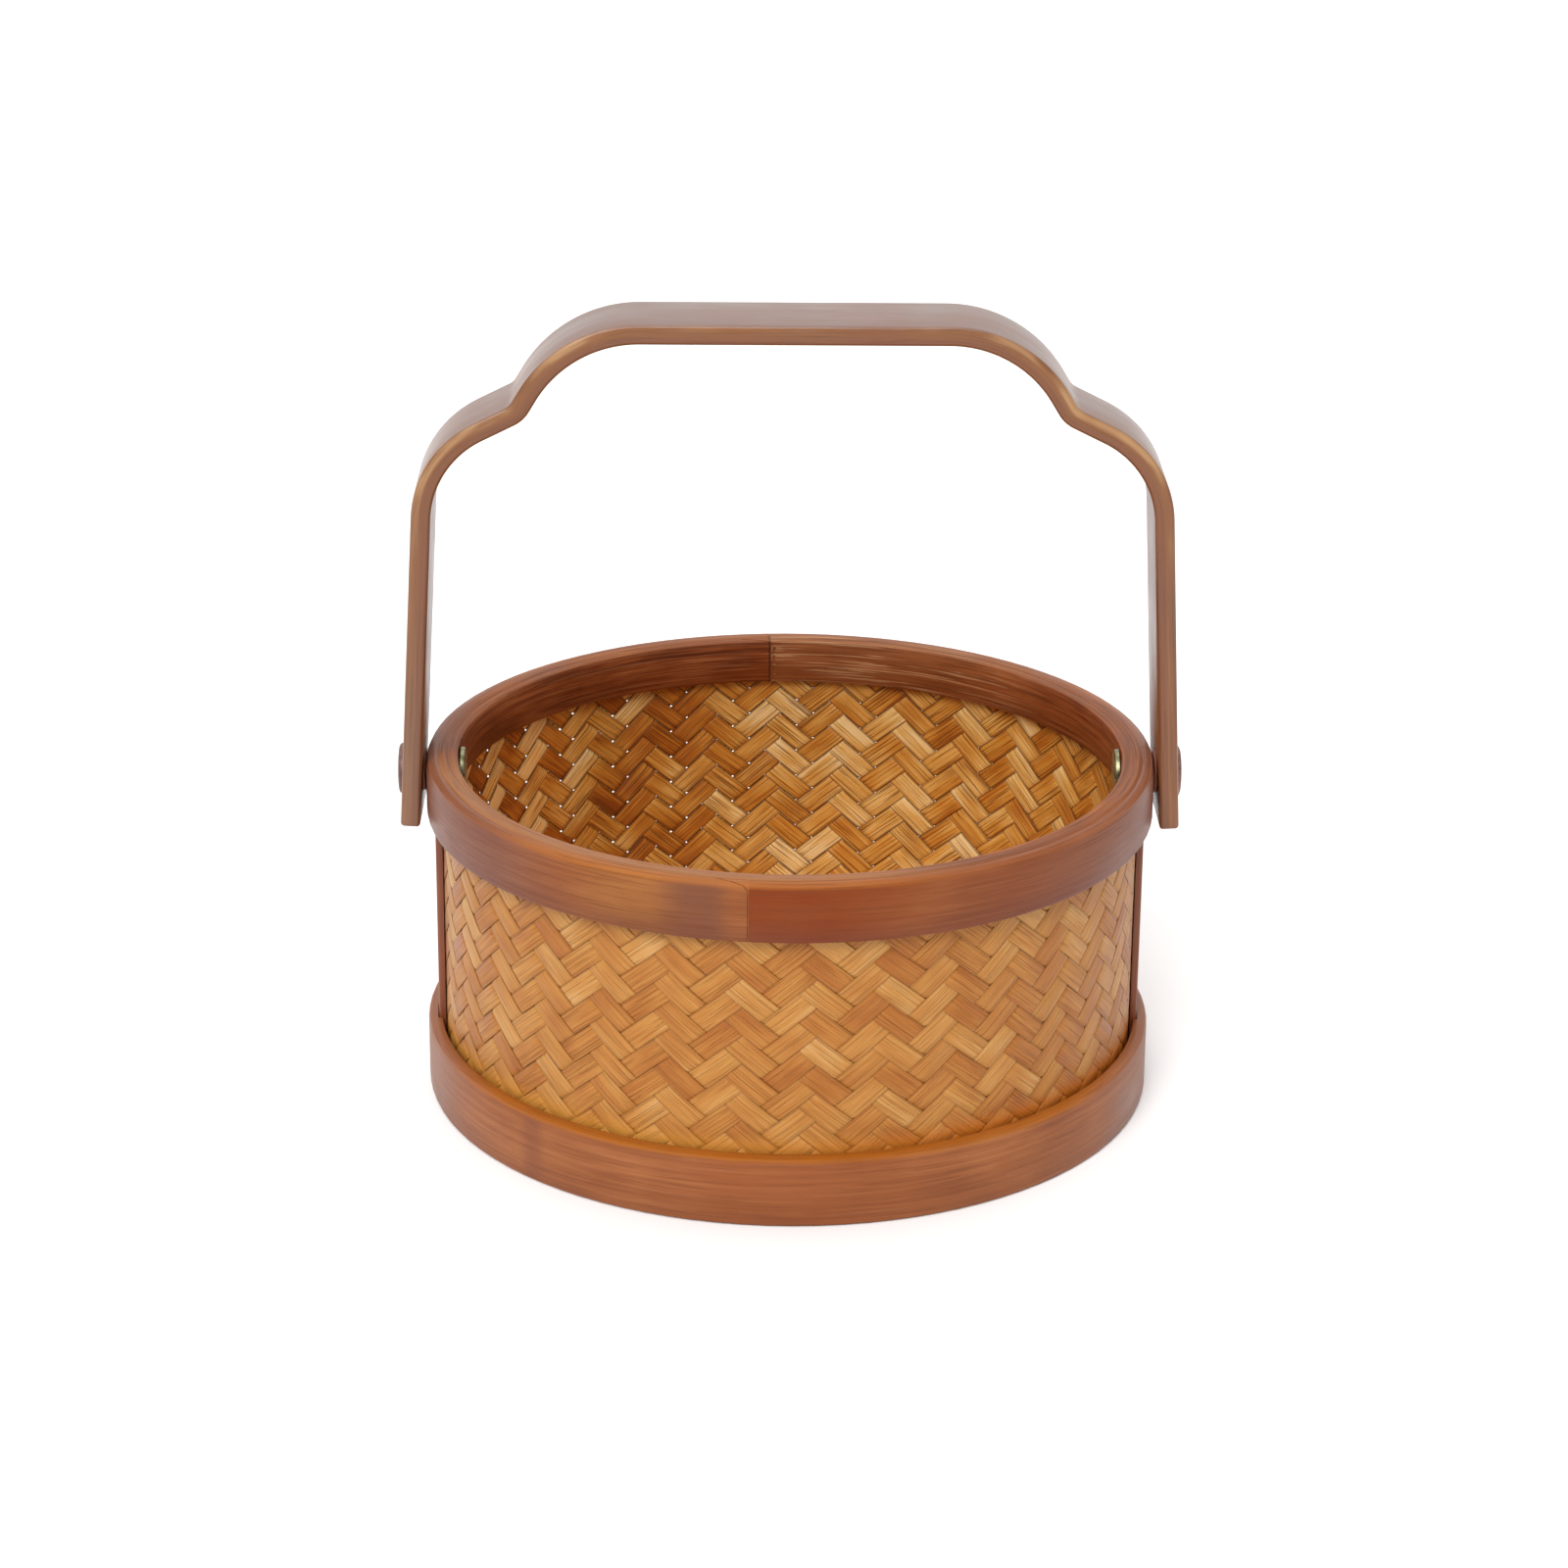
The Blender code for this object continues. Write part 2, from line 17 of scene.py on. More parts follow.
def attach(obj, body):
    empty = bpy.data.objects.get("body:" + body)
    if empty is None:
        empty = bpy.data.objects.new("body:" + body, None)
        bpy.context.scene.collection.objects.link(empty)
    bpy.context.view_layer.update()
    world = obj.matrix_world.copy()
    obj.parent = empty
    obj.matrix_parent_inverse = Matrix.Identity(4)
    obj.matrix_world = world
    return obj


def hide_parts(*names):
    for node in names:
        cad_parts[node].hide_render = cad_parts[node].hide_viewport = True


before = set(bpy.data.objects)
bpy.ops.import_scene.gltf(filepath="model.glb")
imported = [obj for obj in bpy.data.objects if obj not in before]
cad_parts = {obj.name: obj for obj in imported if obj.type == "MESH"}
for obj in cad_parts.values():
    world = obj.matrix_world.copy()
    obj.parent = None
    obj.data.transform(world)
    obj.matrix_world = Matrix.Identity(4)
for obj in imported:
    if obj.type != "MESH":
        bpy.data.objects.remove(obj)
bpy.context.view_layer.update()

SEED = 47

# Camera, solved from the hoops and the handle
CAMERA_PLACE = (-0.0194, -1.17395, 0.54183)
CAMERA_PITCH = 0.3645
CAMERA_YAW = 0.0150
CAMERA_ROLL = 0.0089
FOCAL_PIXELS = 4220.7
FRAME_PIXELS = 1600
SENSOR_WIDTH = 36.0
CLIP_END = 20

# Studio: the floor's half size, the world's strength from the front and from behind with the
# directions' Y between which it changes, and each light's direction, width in degrees and power
FLOOR_HALF_SIZE = 40
WORLD_STRENGTHS = (0.58, 1.10)
WORLD_CHANGE = (0.2, 0.9)
SOFT_LIGHTS = (("top_light", (0, 0.3, 2.0), 50, 1.0),
               ("key_light", (-0.45, -1.25, 1.35), 34, 2.2))

# Meshing: steps round a turned solid, merge distances, and angles above which an edge is sharp
CUT_STEPS = 48
BAND_STEPS = 192
STRIP_MERGE = 1e-6
SOLID_MERGE = 2e-6
STRIP_SHARP_ANGLE = math.radians(50)
BAND_SHARP_ANGLE = math.radians(60)
HANDLE_SHARP_ANGLE = math.radians(35)
SOLID_SHARP_ANGLE = math.radians(32)

# Materials: relief of the bump maps, the range of the soft patches' noise, the height of a
# hoop's lower part with painted shade as a share, and the margin at the top and least share
# round the hoop of its crest's painted highlight
STRIP_RELIEF = 0.00014
FIBRE_RELIEF = 0.00008
GRAIN_RELIEF = 0.00005
PATCH_RANGE = (0.3, 0.7)
UNDER_SHADE_HEIGHT = 0.45
CREST_HIGHLIGHT_MARGIN = 0.0002
CREST_HIGHLIGHT_LEAST = 0.30

# Weave of the wall: strips of each lean, their lattice and their section
WALL_STRIPS = 62
WALL_RADIUS = 0.1047
WALL_BOTTOM = 0.0011
WALL_TOP = 0.1037
WALL_PHASE = 0.015
CROSSING_RISE = 0.0044
WIDEST_SHARE = 0.494
STRIP_HALF_THICKNESS = 0.00025
STRIP_SWING = 0.00040
DIVE_SHARE = 0.30
SECTION = ((-1.0, 0.45), (-0.84, 0.92), (0.0, 1.06), (0.84, 0.92), (1.0, 0.45))
FLOAT_STATIONS = (-0.7, -0.24, -0.14, -0.07, 0.0, 0.07, 0.14, 0.24, 0.7, 1.0)

# Slow wander of the lattice: each wave's size, its rates along the two leans, and its start
DRIFT_WAVES = ((0.04, 0.12, 0.09, 0), (0.02, 0.10, -0.13, 1.3))

# Pinholes: how much narrower a loose strip gets, round what angle and how far from it, in
# degrees, and the draw of each strip's looseness
PINHOLE_SHARE = 0.050
PINHOLE_CENTRE = 145
PINHOLE_WIDTH = 125
LOOSENESS_DRAW = (0.35, 1.0)

# Tones: the draw of each strip's own, and the wall's paler and darker sectors, each with its
# centre and width in degrees and its weight, the same for both leans or for one side only. The
# second lean's paler sector on the left is painted light, not a tone of the strips.
WALL_TONE_DRAW = (0.24, 0.76)
BASE_TONE_DRAW = (0.2, 0.8)
WALL_SECTORS = ((90, 32, 0.18), (8, 64, -0.26), (113, 22, -0.16))
LEAN_TONE_AND_LIGHT_SECTORS = {1: ((48, 36, 0.22), (165, 75, -0.44)), -1: ((163, 60, 0.50), (48, 36, -0.12))}

# Shift of the fibre map from strip to strip, and what the bottom's strips add to their number
FIBRE_SHIFT = 0.05
BASE_FIBRE_OFFSET = 80

# Run along the wall, and distance along a strip, from one crossing to the next
crossing_run = math.pi * WALL_RADIUS / WALL_STRIPS
crossing_length = math.hypot(crossing_run, CROSSING_RISE)

# Lacquered upper edge of the wall, which closes the groove between the rim hoops
EDGE_BAND = ((0.10375, 0.1039), (0.10565, 0.1039), (0.10565, 0.10542), (0.1064, 0.10542),
             (0.1061, 0.10552), (0.1047, 0.10558), (0.1033, 0.10552), (0.1030, 0.10542),
             (0.10375, 0.10542))

# Weave of the bottom
BASE_HEIGHT = 0.0125
BASE_RADIUS = 0.1034

# Rim and foot, with the same heights as the frame's
RIM_TOP = 0.1054
RIM_OUTER_BOTTOM = 0.0876
RIM_INNER_BOTTOM = 0.0912
FOOT_TOP = 0.0214
HOOP_RADIUS = 0.108

# Handle and pivots, with the same lengths as the frame's
PIVOT_HEIGHT = 0.098584
HANDLE_TOP = 0.2404
HANDLE_WIDTH = 0.029
HANDLE_THICKNESS = 0.0059
HANDLE_EDGE_RADIUS = 0.0011
LEAST_EDGE_RADIUS = 0.00004
CROWN_BEND_RADIUS = 0.038
CROWN_BEND_ANGLE = math.radians(59)
RISE_LENGTH = 0.004
DIP_BEND_RADIUS = 0.0075
SHOULDER_SLOPE = math.radians(26.5)
SHOULDER_LENGTH = 0.0105
SHOULDER_BEND_RADIUS = 0.031
LEG_SPLAY = math.radians(3.1)
LEG_INNER_SEAT = 0.1114
SEAT_DEPTH = 0.0007
LEG_END_DROP = 0.0136
BORE_RADIUS = 0.0033
CAP_SEAT_RADIUS = 0.0081
WASHER_SEAT_RADIUS = 0.0068
OVERRUN = 0.002
HANDLE_STEP = 0.0015
CORNER_STEPS = 4
END_STEPS = 3
leg_outer_seat = LEG_INNER_SEAT + HANDLE_THICKNESS - 2 * SEAT_DEPTH
leg_middle = (LEG_INNER_SEAT + leg_outer_seat) / 2


def new_object(name, data):
    """A named object, linked into the scene."""
    item = bpy.data.objects.new(name, data)
    bpy.context.scene.collection.objects.link(item)
    return item


def add_piece(name, mesh, material, body):
    """Link a mesh as a named object that rides on a body."""
    piece = new_object(name, mesh)
    mesh.materials.append(material)
    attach(piece, body)
    return piece


def bump_round(angle, centre, width):
    """A soft bump round an angle, in degrees, that ends at a width on both sides."""
    away = (angle - math.radians(centre) + math.pi) % (2 * math.pi) - math.pi
    return np.cos(np.clip(away / math.radians(width), -1, 1) * math.pi / 2) ** 2


def strip_heights(index, across):
    """How far a strip swings to its face side, where it crosses the other lean's strips.

    It lies over two strips and under the next two, and dives between them.
    """
    phase = (index + across - 0.5) * math.pi / 2
    return np.sin(math.pi / 2 * np.clip(np.cos(phase) / DIVE_SHARE, -1, 1))


def strip_stations(index, low, high):
    """Crossings along a strip at which it is sampled, closer together where it dives."""
    stations = {low, high}
    for k in range(math.floor(low) - 2, math.ceil(high) + 3):
        if (index + k) % 2 == 0:
            for shift in FLOAT_STATIONS:
                place = round(k + 1.5 + shift, 4)
                if low < place < high:
                    stations.add(place)
    return np.array(sorted(stations))


def lattice_drift(a, b):
    """A slow wander of the lattice, nearly the same for neighbouring strips."""
    return sum(size * np.sin(rate_a * a + rate_b * b + start)
               for size, rate_a, rate_b, start in DRIFT_WAVES)


class StripMesh:
    """Collects woven strips as one mesh, with a fibre map and marks for the shader.

    The marks are the strip's tone, whether the point is seen from inside the basket, and how
    near it is to the strip's edge.
    """

    def __init__(self):
        self.points = []
        self.faces = []
        self.fibre = []
        self.marks = []

    def add(self, points, fibre, marks):
        """Add one strip: an array of rings of points, with a cap at each end."""
        count, size = points.shape[:2]
        start = len(self.points)
        self.points.extend(points.reshape(-1, 3).tolist())
        self.fibre.extend(fibre.reshape(-1, 2).tolist())
        self.marks.extend(marks.reshape(-1, 3).tolist())
        for k in range(count - 1):
            for j in range(size):
                low = start + k * size
                after = (j + 1) % size
                self.faces.append((low + j, low + size + j, low + size + after, low + after))
        last = start + (count - 1) * size
        self.faces.append(tuple(range(start, start + size)))
        self.faces.append(tuple(range(last + size - 1, last - 1, -1)))

    def finish(self, name):
        """The collected strips as a mesh without the slivers of its slanted ends."""
        mesh = bpy.data.meshes.new(name)
        mesh.from_pydata(self.points, [], self.faces)
        fibre = np.array(self.fibre, np.float32)
        corners = np.zeros(len(mesh.loops), np.int32)
        mesh.loops.foreach_get("vertex_index", corners)
        layer = mesh.uv_layers.new(name="fibre")
        layer.data.foreach_set("uv", fibre[corners].ravel())
        marks = mesh.attributes.new("marks", "FLOAT_VECTOR", "POINT")
        marks.data.foreach_set("vector", np.array(self.marks, np.float32).ravel())
        bm = bmesh.new()
        bm.from_mesh(mesh)
        bmesh.ops.remove_doubles(bm, verts=bm.verts, dist=STRIP_MERGE)
        bmesh.ops.recalc_face_normals(bm, faces=bm.faces)
        bm.to_mesh(mesh)
        bm.free()
        mesh.shade_smooth()
        mesh.set_sharp_from_angle(angle=STRIP_SHARP_ANGLE)
        return mesh


def make_strip(index, side, limits, share_at):
    """Lattice places of one strip: rings of (across, along, height).

    side is 1 for a strip of the first lean and -1 for one of the second. limits gives the
    range along the strip for a place across it, and share_at its half width at a place along.
    """
    section = np.array(SECTION)
    offsets = np.concatenate([section[:, 0], section[::-1, 0]])
    thickness = np.concatenate([section[:, 1], -section[::-1, 1]]) * STRIP_HALF_THICKNESS
    low, high = limits(np.array([index - 0.5, index + 0.5]), side)
    stations = strip_stations(index, float(low.min()), float(high.max()))
    a, b = (index, stations) if side > 0 else (stations, index)
    drift = lattice_drift(a, b)[:, None]
    across = index + share_at(a, b)[:, None] * offsets[None, :] + drift
    low, high = limits(across, side)
    along = np.clip(stations[:, None], low, high)
    height = side * strip_heights(index, along) * STRIP_SWING + thickness[None, :]
    return across, along, height


def strip_marks(shape, tone, back_inside):
    """The marks of one strip's points.

    The first half of a ring's points is the strip's face side, which is outside on the wall
    and up on the bottom. back_inside says that the basket's inside shows the other half.
    """
    section = np.array(SECTION)
    marks = np.zeros((*shape, 3))
    marks[..., 0] = tone
    back = np.concatenate([np.zeros(len(section)), np.ones(len(section))])
    marks[..., 1] = back if back_inside else 1 - back
    marks[..., 2] = np.abs(np.concatenate([section[:, 0], section[::-1, 0]]))
    return marks


def extend_arc(path, radius, heading, bend, step):
    """Add a bend to a path of (x, z, heading): bend 1 turns down, and -1 turns back up."""
    x, z, start = path[-1]
    steps = max(2, math.ceil(abs(heading - start) * radius / step))
    for k in range(1, steps + 1):
        angle = start + (heading - start) * k / steps
        path.append((x + bend * radius * (math.sin(angle) - math.sin(start)),
                     z - bend * radius * (math.cos(start) - math.cos(angle)), angle))


def extend_line(path, length, step):
    """Add a straight stretch to the end of a path."""
    x, z, heading = path[-1]
    steps = max(1, math.ceil(length / step))
    for k in range(1, steps + 1):
        reach = length * k / steps
        path.append((x + reach * math.cos(heading), z - reach * math.sin(heading), heading))


def half_handle_path():
    """Centre line of the right half, from the middle of the crown to the end of the leg."""
    leg_heading = math.pi / 2 - LEG_SPLAY
    bends = [(0, HANDLE_TOP - HANDLE_THICKNESS / 2, 0)]
    extend_arc(bends, CROWN_BEND_RADIUS, CROWN_BEND_ANGLE, 1, HANDLE_STEP)
    extend_line(bends, RISE_LENGTH, HANDLE_STEP)
    extend_arc(bends, DIP_BEND_RADIUS, SHOULDER_SLOPE, -1, HANDLE_STEP / 2)
    extend_line(bends, SHOULDER_LENGTH, HANDLE_STEP)
    extend_arc(bends, SHOULDER_BEND_RADIUS, leg_heading, 1, HANDLE_STEP)
    pivot_run = (bends[-1][1] - PIVOT_HEIGHT) / math.sin(leg_heading)
    flat = leg_middle - bends[-1][0] - pivot_run * math.cos(leg_heading)
    path = [(0, bends[0][1], 0)]
    extend_line(path, flat, HANDLE_STEP * 4)
    path += [(x + flat, z, heading) for x, z, heading in bends[1:]]
    extend_line(path, pivot_run + LEG_END_DROP / math.sin(leg_heading), HANDLE_STEP * 2)
    return path


def rounded_outline(half_u, half_v, radius, steps):
    """Outline of a rounded box round the middle, from its corner at -u and -v."""
    points = []
    for k, (side_u, side_v) in enumerate(((-1, -1), (1, -1), (1, 1), (-1, 1))):
        for j in range(steps + 1):
            angle = math.pi + k * math.pi / 2 + math.pi / 2 * j / steps
            points.append((side_u * (half_u - radius) + radius * math.cos(angle),
                           side_v * (half_v - radius) + radius * math.sin(angle)))
    return points


def handle_stations():
    """Places along the whole strip, as (x, z, heading, inset), with both ends rounded over."""
    path = half_handle_path()
    right = [(x, z, heading, 0) for x, z, heading in path[:-1]]
    x, z, heading = path[-1]
    for k in range(END_STEPS + 1):
        turn = math.pi / 2 * k / END_STEPS
        back = HANDLE_EDGE_RADIUS * (1 - math.sin(turn))
        right.append((x - back * math.cos(heading), z + back * math.sin(heading), heading,
                      HANDLE_EDGE_RADIUS * (1 - math.cos(turn))))
    return [(-x, z, -heading, inset) for x, z, heading, inset in reversed(right[1:])] + right


def handle_mesh():
    """The bent strip, with a map that follows its fibres round every bend."""
    stations = handle_stations()
    bm = bmesh.new()
    layer = bm.loops.layers.uv.new("fibre")
    rings = []
    runs = []
    run = 0
    for k, (x, z, heading, inset) in enumerate(stations):
        if k:
            run += math.hypot(x - stations[k - 1][0], z - stations[k - 1][1])
        runs.append(run)
        radius = max(HANDLE_EDGE_RADIUS - inset, LEAST_EDGE_RADIUS)
        outline = rounded_outline(HANDLE_THICKNESS / 2 - inset, HANDLE_WIDTH / 2 - inset,
                                  radius, CORNER_STEPS)
        rings.append([bm.verts.new((x + out * math.sin(heading), y, z + out * math.cos(heading)))
                      for out, y in outline])
    girth = [0]
    outline = rounded_outline(HANDLE_THICKNESS / 2, HANDLE_WIDTH / 2, HANDLE_EDGE_RADIUS,
                              CORNER_STEPS)
    for (u, v), (next_u, next_v) in zip(outline, outline[1:] + outline[:1]):
        girth.append(girth[-1] + math.hypot(next_u - u, next_v - v))
    for k in range(len(rings) - 1):
        for j in range(len(outline)):
            after = (j + 1) % len(outline)
            face = bm.faces.new((rings[k][j], rings[k + 1][j],
                                 rings[k + 1][after], rings[k][after]))
            marks = ((runs[k], girth[j]), (runs[k + 1], girth[j]),
                     (runs[k + 1], girth[j + 1]), (runs[k], girth[j + 1]))
            for loop, mark in zip(face.loops, marks):
                loop[layer].uv = mark
    for ring in (rings[0], rings[-1]):
        face = bm.faces.new(ring)
        for loop in face.loops:
            loop[layer].uv = (loop.vert.co.x, loop.vert.co.y)
    bmesh.ops.recalc_face_normals(bm, faces=bm.faces)
    mesh = bpy.data.meshes.new("handle_strip")
    bm.to_mesh(mesh)
    bm.free()
    return mesh


def turned_mesh(name, outline, steps, closed, place):
    """A turned solid from (radius, reach) points.

    place turns a radius, a reach and an angle into a point. closed joins the outline's last
    point to its first.
    """
    bm = bmesh.new()
    rings = []
    for radius, reach in outline:
        count = steps if radius > 0 else 1
        rings.append([bm.verts.new(place(radius, reach, 2 * math.pi * j / steps))
                      for j in range(count)])
    pairs = list(zip(rings, rings[1:]))
    if closed:
        pairs.append((rings[-1], rings[0]))
    for first, second in pairs:
        for j in range(steps):
            corners = []
            for ring, index in ((first, j), (first, j + 1), (second, j + 1), (second, j)):
                vertex = ring[index % len(ring)]
                if vertex not in corners:
                    corners.append(vertex)
            bm.faces.new(corners)
    bmesh.ops.recalc_face_normals(bm, faces=bm.faces)
    mesh = bpy.data.meshes.new(name)
    bm.to_mesh(mesh)
    bm.free()
    return mesh


def cut_pivot(piece, outline, sign):
    """Cut a solid turned about a pivot's axis out of a piece."""
    def place(radius, reach, angle):
        return sign * reach, radius * math.cos(angle), PIVOT_HEIGHT + radius * math.sin(angle)

    mesh = turned_mesh("pivot_cutter", outline, CUT_STEPS, closed=False, place=place)
    cutter = new_object("pivot_cutter", mesh)
    modifier = piece.modifiers.new("bore", "BOOLEAN")
    modifier.operation = "DIFFERENCE"
    modifier.solver = "EXACT"
    modifier.object = cutter
    depsgraph = bpy.context.evaluated_depsgraph_get()
    mesh = bpy.data.meshes.new_from_object(piece.evaluated_get(depsgraph))
    piece.modifiers.clear()
    piece.data = mesh
    bpy.data.objects.remove(cutter)


def leg_cut_outline():
    """Bore of a leg, with a flat seat for the washer and one for the cap."""
    return [(0, LEG_INNER_SEAT - OVERRUN), (WASHER_SEAT_RADIUS, LEG_INNER_SEAT - OVERRUN),
            (WASHER_SEAT_RADIUS, LEG_INNER_SEAT), (BORE_RADIUS, LEG_INNER_SEAT),
            (BORE_RADIUS, leg_outer_seat), (CAP_SEAT_RADIUS, leg_outer_seat),
            (CAP_SEAT_RADIUS, leg_outer_seat + OVERRUN), (0, leg_outer_seat + OVERRUN)]


def wall_cut_outline():
    """Bore through the woven wall."""
    return [(0, WALL_RADIUS - OVERRUN), (BORE_RADIUS, WALL_RADIUS - OVERRUN),
            (BORE_RADIUS, WALL_RADIUS + OVERRUN), (0, WALL_RADIUS + OVERRUN)]


class Nodes:
    """Short calls that build one material's node tree."""

    def __init__(self, name):
        self.material = bpy.data.materials.new(name)
        self.material.use_nodes = True
        self.tree = self.material.node_tree
        self.shader = self.tree.nodes["Principled BSDF"]

    def new(self, kind, **settings):
        node = self.tree.nodes.new(kind)
        for key, value in settings.items():
            setattr(node, key, value)
        return node

    def feed(self, socket, value):
        """Link an output to a socket, or set the socket to a constant."""
        if isinstance(value, bpy.types.NodeSocket):
            self.tree.links.new(value, socket)
        else:
            socket.default_value = value

    def math(self, operation, first, second=0.5, third=0.5):
        node = self.new("ShaderNodeMath", operation=operation)
        for socket, value in zip(node.inputs, (first, second, third)):
            self.feed(socket, value)
        return node.outputs[0]

    def times(self, first, second):
        return self.math("MULTIPLY", first, second)

    def stretch(self, vector, factors, shift=(0, 0, 0)):
        """A coordinate times one factor for each axis, plus a shift."""
        node = self.new("ShaderNodeVectorMath", operation="MULTIPLY_ADD")
        self.feed(node.inputs[0], vector)
        node.inputs[1].default_value = factors
        node.inputs[2].default_value = shift
        return node.outputs[0]

    def noise(self, vector, factors, detail=2, roughness=0.5, shift=(0, 0, 0)):
        """Noise whose cells are 1/factor long along each axis."""
        node = self.new("ShaderNodeTexNoise")
        self.feed(node.inputs["Vector"], self.stretch(vector, factors, shift))
        node.inputs["Scale"].default_value = 1
        node.inputs["Detail"].default_value = detail
        node.inputs["Roughness"].default_value = roughness
        return node.outputs["Fac"]

    def range(self, value, low, high, to_low=0, to_high=1):
        """A value's range, spread smoothly over another."""
        node = self.new("ShaderNodeMapRange", interpolation_type="SMOOTHSTEP")
        self.feed(node.inputs["Value"], value)
        node.inputs["From Min"].default_value = low
        node.inputs["From Max"].default_value = high
        node.inputs["To Min"].default_value = to_low
        node.inputs["To Max"].default_value = to_high
        return node.outputs["Result"]

    def window(self, value, start, full, fade, end):
        """One between full and fade, and nothing before start or after end."""
        return self.times(self.range(value, start, full), self.range(value, fade, end, 1, 0))

    def sector(self, angle, start, full, fade, end):
        """A window of an angle, with its limits in degrees."""
        return self.window(angle, *(math.radians(limit) for limit in (start, full, fade, end)))

    def ramp(self, factor, stops):
        node = self.new("ShaderNodeValToRGB")
        self.feed(node.inputs["Fac"], factor)
        elements = node.color_ramp.elements
        while len(elements) < len(stops):
            elements.new(0.5)
        for element, (place, colour) in zip(elements, stops):
            element.position = place
            element.color = (*colour, 1)
        return node.outputs["Color"]

    def mix(self, factor, first, second, mode="MIX"):
        node = self.new("ShaderNodeMix", data_type="RGBA", blend_type=mode)
        self.feed(node.inputs["Factor"], factor)
        for socket, value in ((node.inputs[6], first), (node.inputs[7], second)):
            self.feed(socket, (*value, 1) if isinstance(value, tuple) else value)
        return node.outputs[2]

    def tint(self, colour, place, strength, target):
        """Mix a colour towards a target where the place is one, as far as its strength."""
        return self.mix(self.times(place, strength), colour, target)

    def combine(self, x, y, z):
        node = self.new("ShaderNodeCombineXYZ")
        for socket, value in zip(node.inputs, (x, y, z)):
            self.feed(socket, value)
        return node.outputs[0]

    def apart(self, vector):
        node = self.new("ShaderNodeSeparateXYZ")
        self.feed(node.inputs[0], vector)
        return node.outputs

    def own_place(self):
        """The piece's own coordinates."""
        return self.new("ShaderNodeTexCoord").outputs["Object"]

    def fibre_map(self):
        return self.new("ShaderNodeUVMap", uv_map="fibre").outputs[0]

    def sum(self, *terms):
        """Half, plus each (value, weight) term's distance from half."""
        total = 0.5
        for value, weight in terms:
            total = self.math("MULTIPLY_ADD", self.math("SUBTRACT", value, 0.5), weight, total)
        return total

    def bump(self, height, distance):
        node = self.new("ShaderNodeBump")
        self.feed(node.inputs["Height"], height)
        node.inputs["Distance"].default_value = distance
        node.inputs["Strength"].default_value = 1
        self.tree.links.new(node.outputs[0], self.shader.inputs["Normal"])

    def fibre_bump(self, fine, broad, dark_lines):
        self.bump(self.sum((fine, 0.5), (broad, 0.5), (dark_lines, -0.6)), FIBRE_RELIEF)

    def finish(self, colour, roughness, **constants):
        self.feed(self.shader.inputs["Base Color"], colour)
        self.feed(self.shader.inputs["Roughness"], roughness)
        for name, value in constants.items():
            self.shader.inputs[name.replace("_", " ")].default_value = value
        return self.material


def bamboo_fibres(nodes, vector, fine_width, fine_length, lines_per_metre=1500):
    """Fine fibres, broad streaks, soft patches and thin dark lines, all along the first axis."""
    fine = nodes.noise(vector, (1 / fine_length, 1 / fine_width, 1 / fine_width), 2, 0.6)
    broad = nodes.noise(vector, (14, 620, 620), 2, 0.5, (3, 5, 7))
    patches = nodes.noise(vector, (34, 70, 70), 2, 0.5, (11, 13, 17))
    lines = nodes.noise(vector, (40, lines_per_metre, lines_per_metre), 1, 0.5, (23, 29, 31))
    dark_lines = nodes.range(lines, 0.34, 0.44, 1, 0)
    return fine, broad, patches, dark_lines


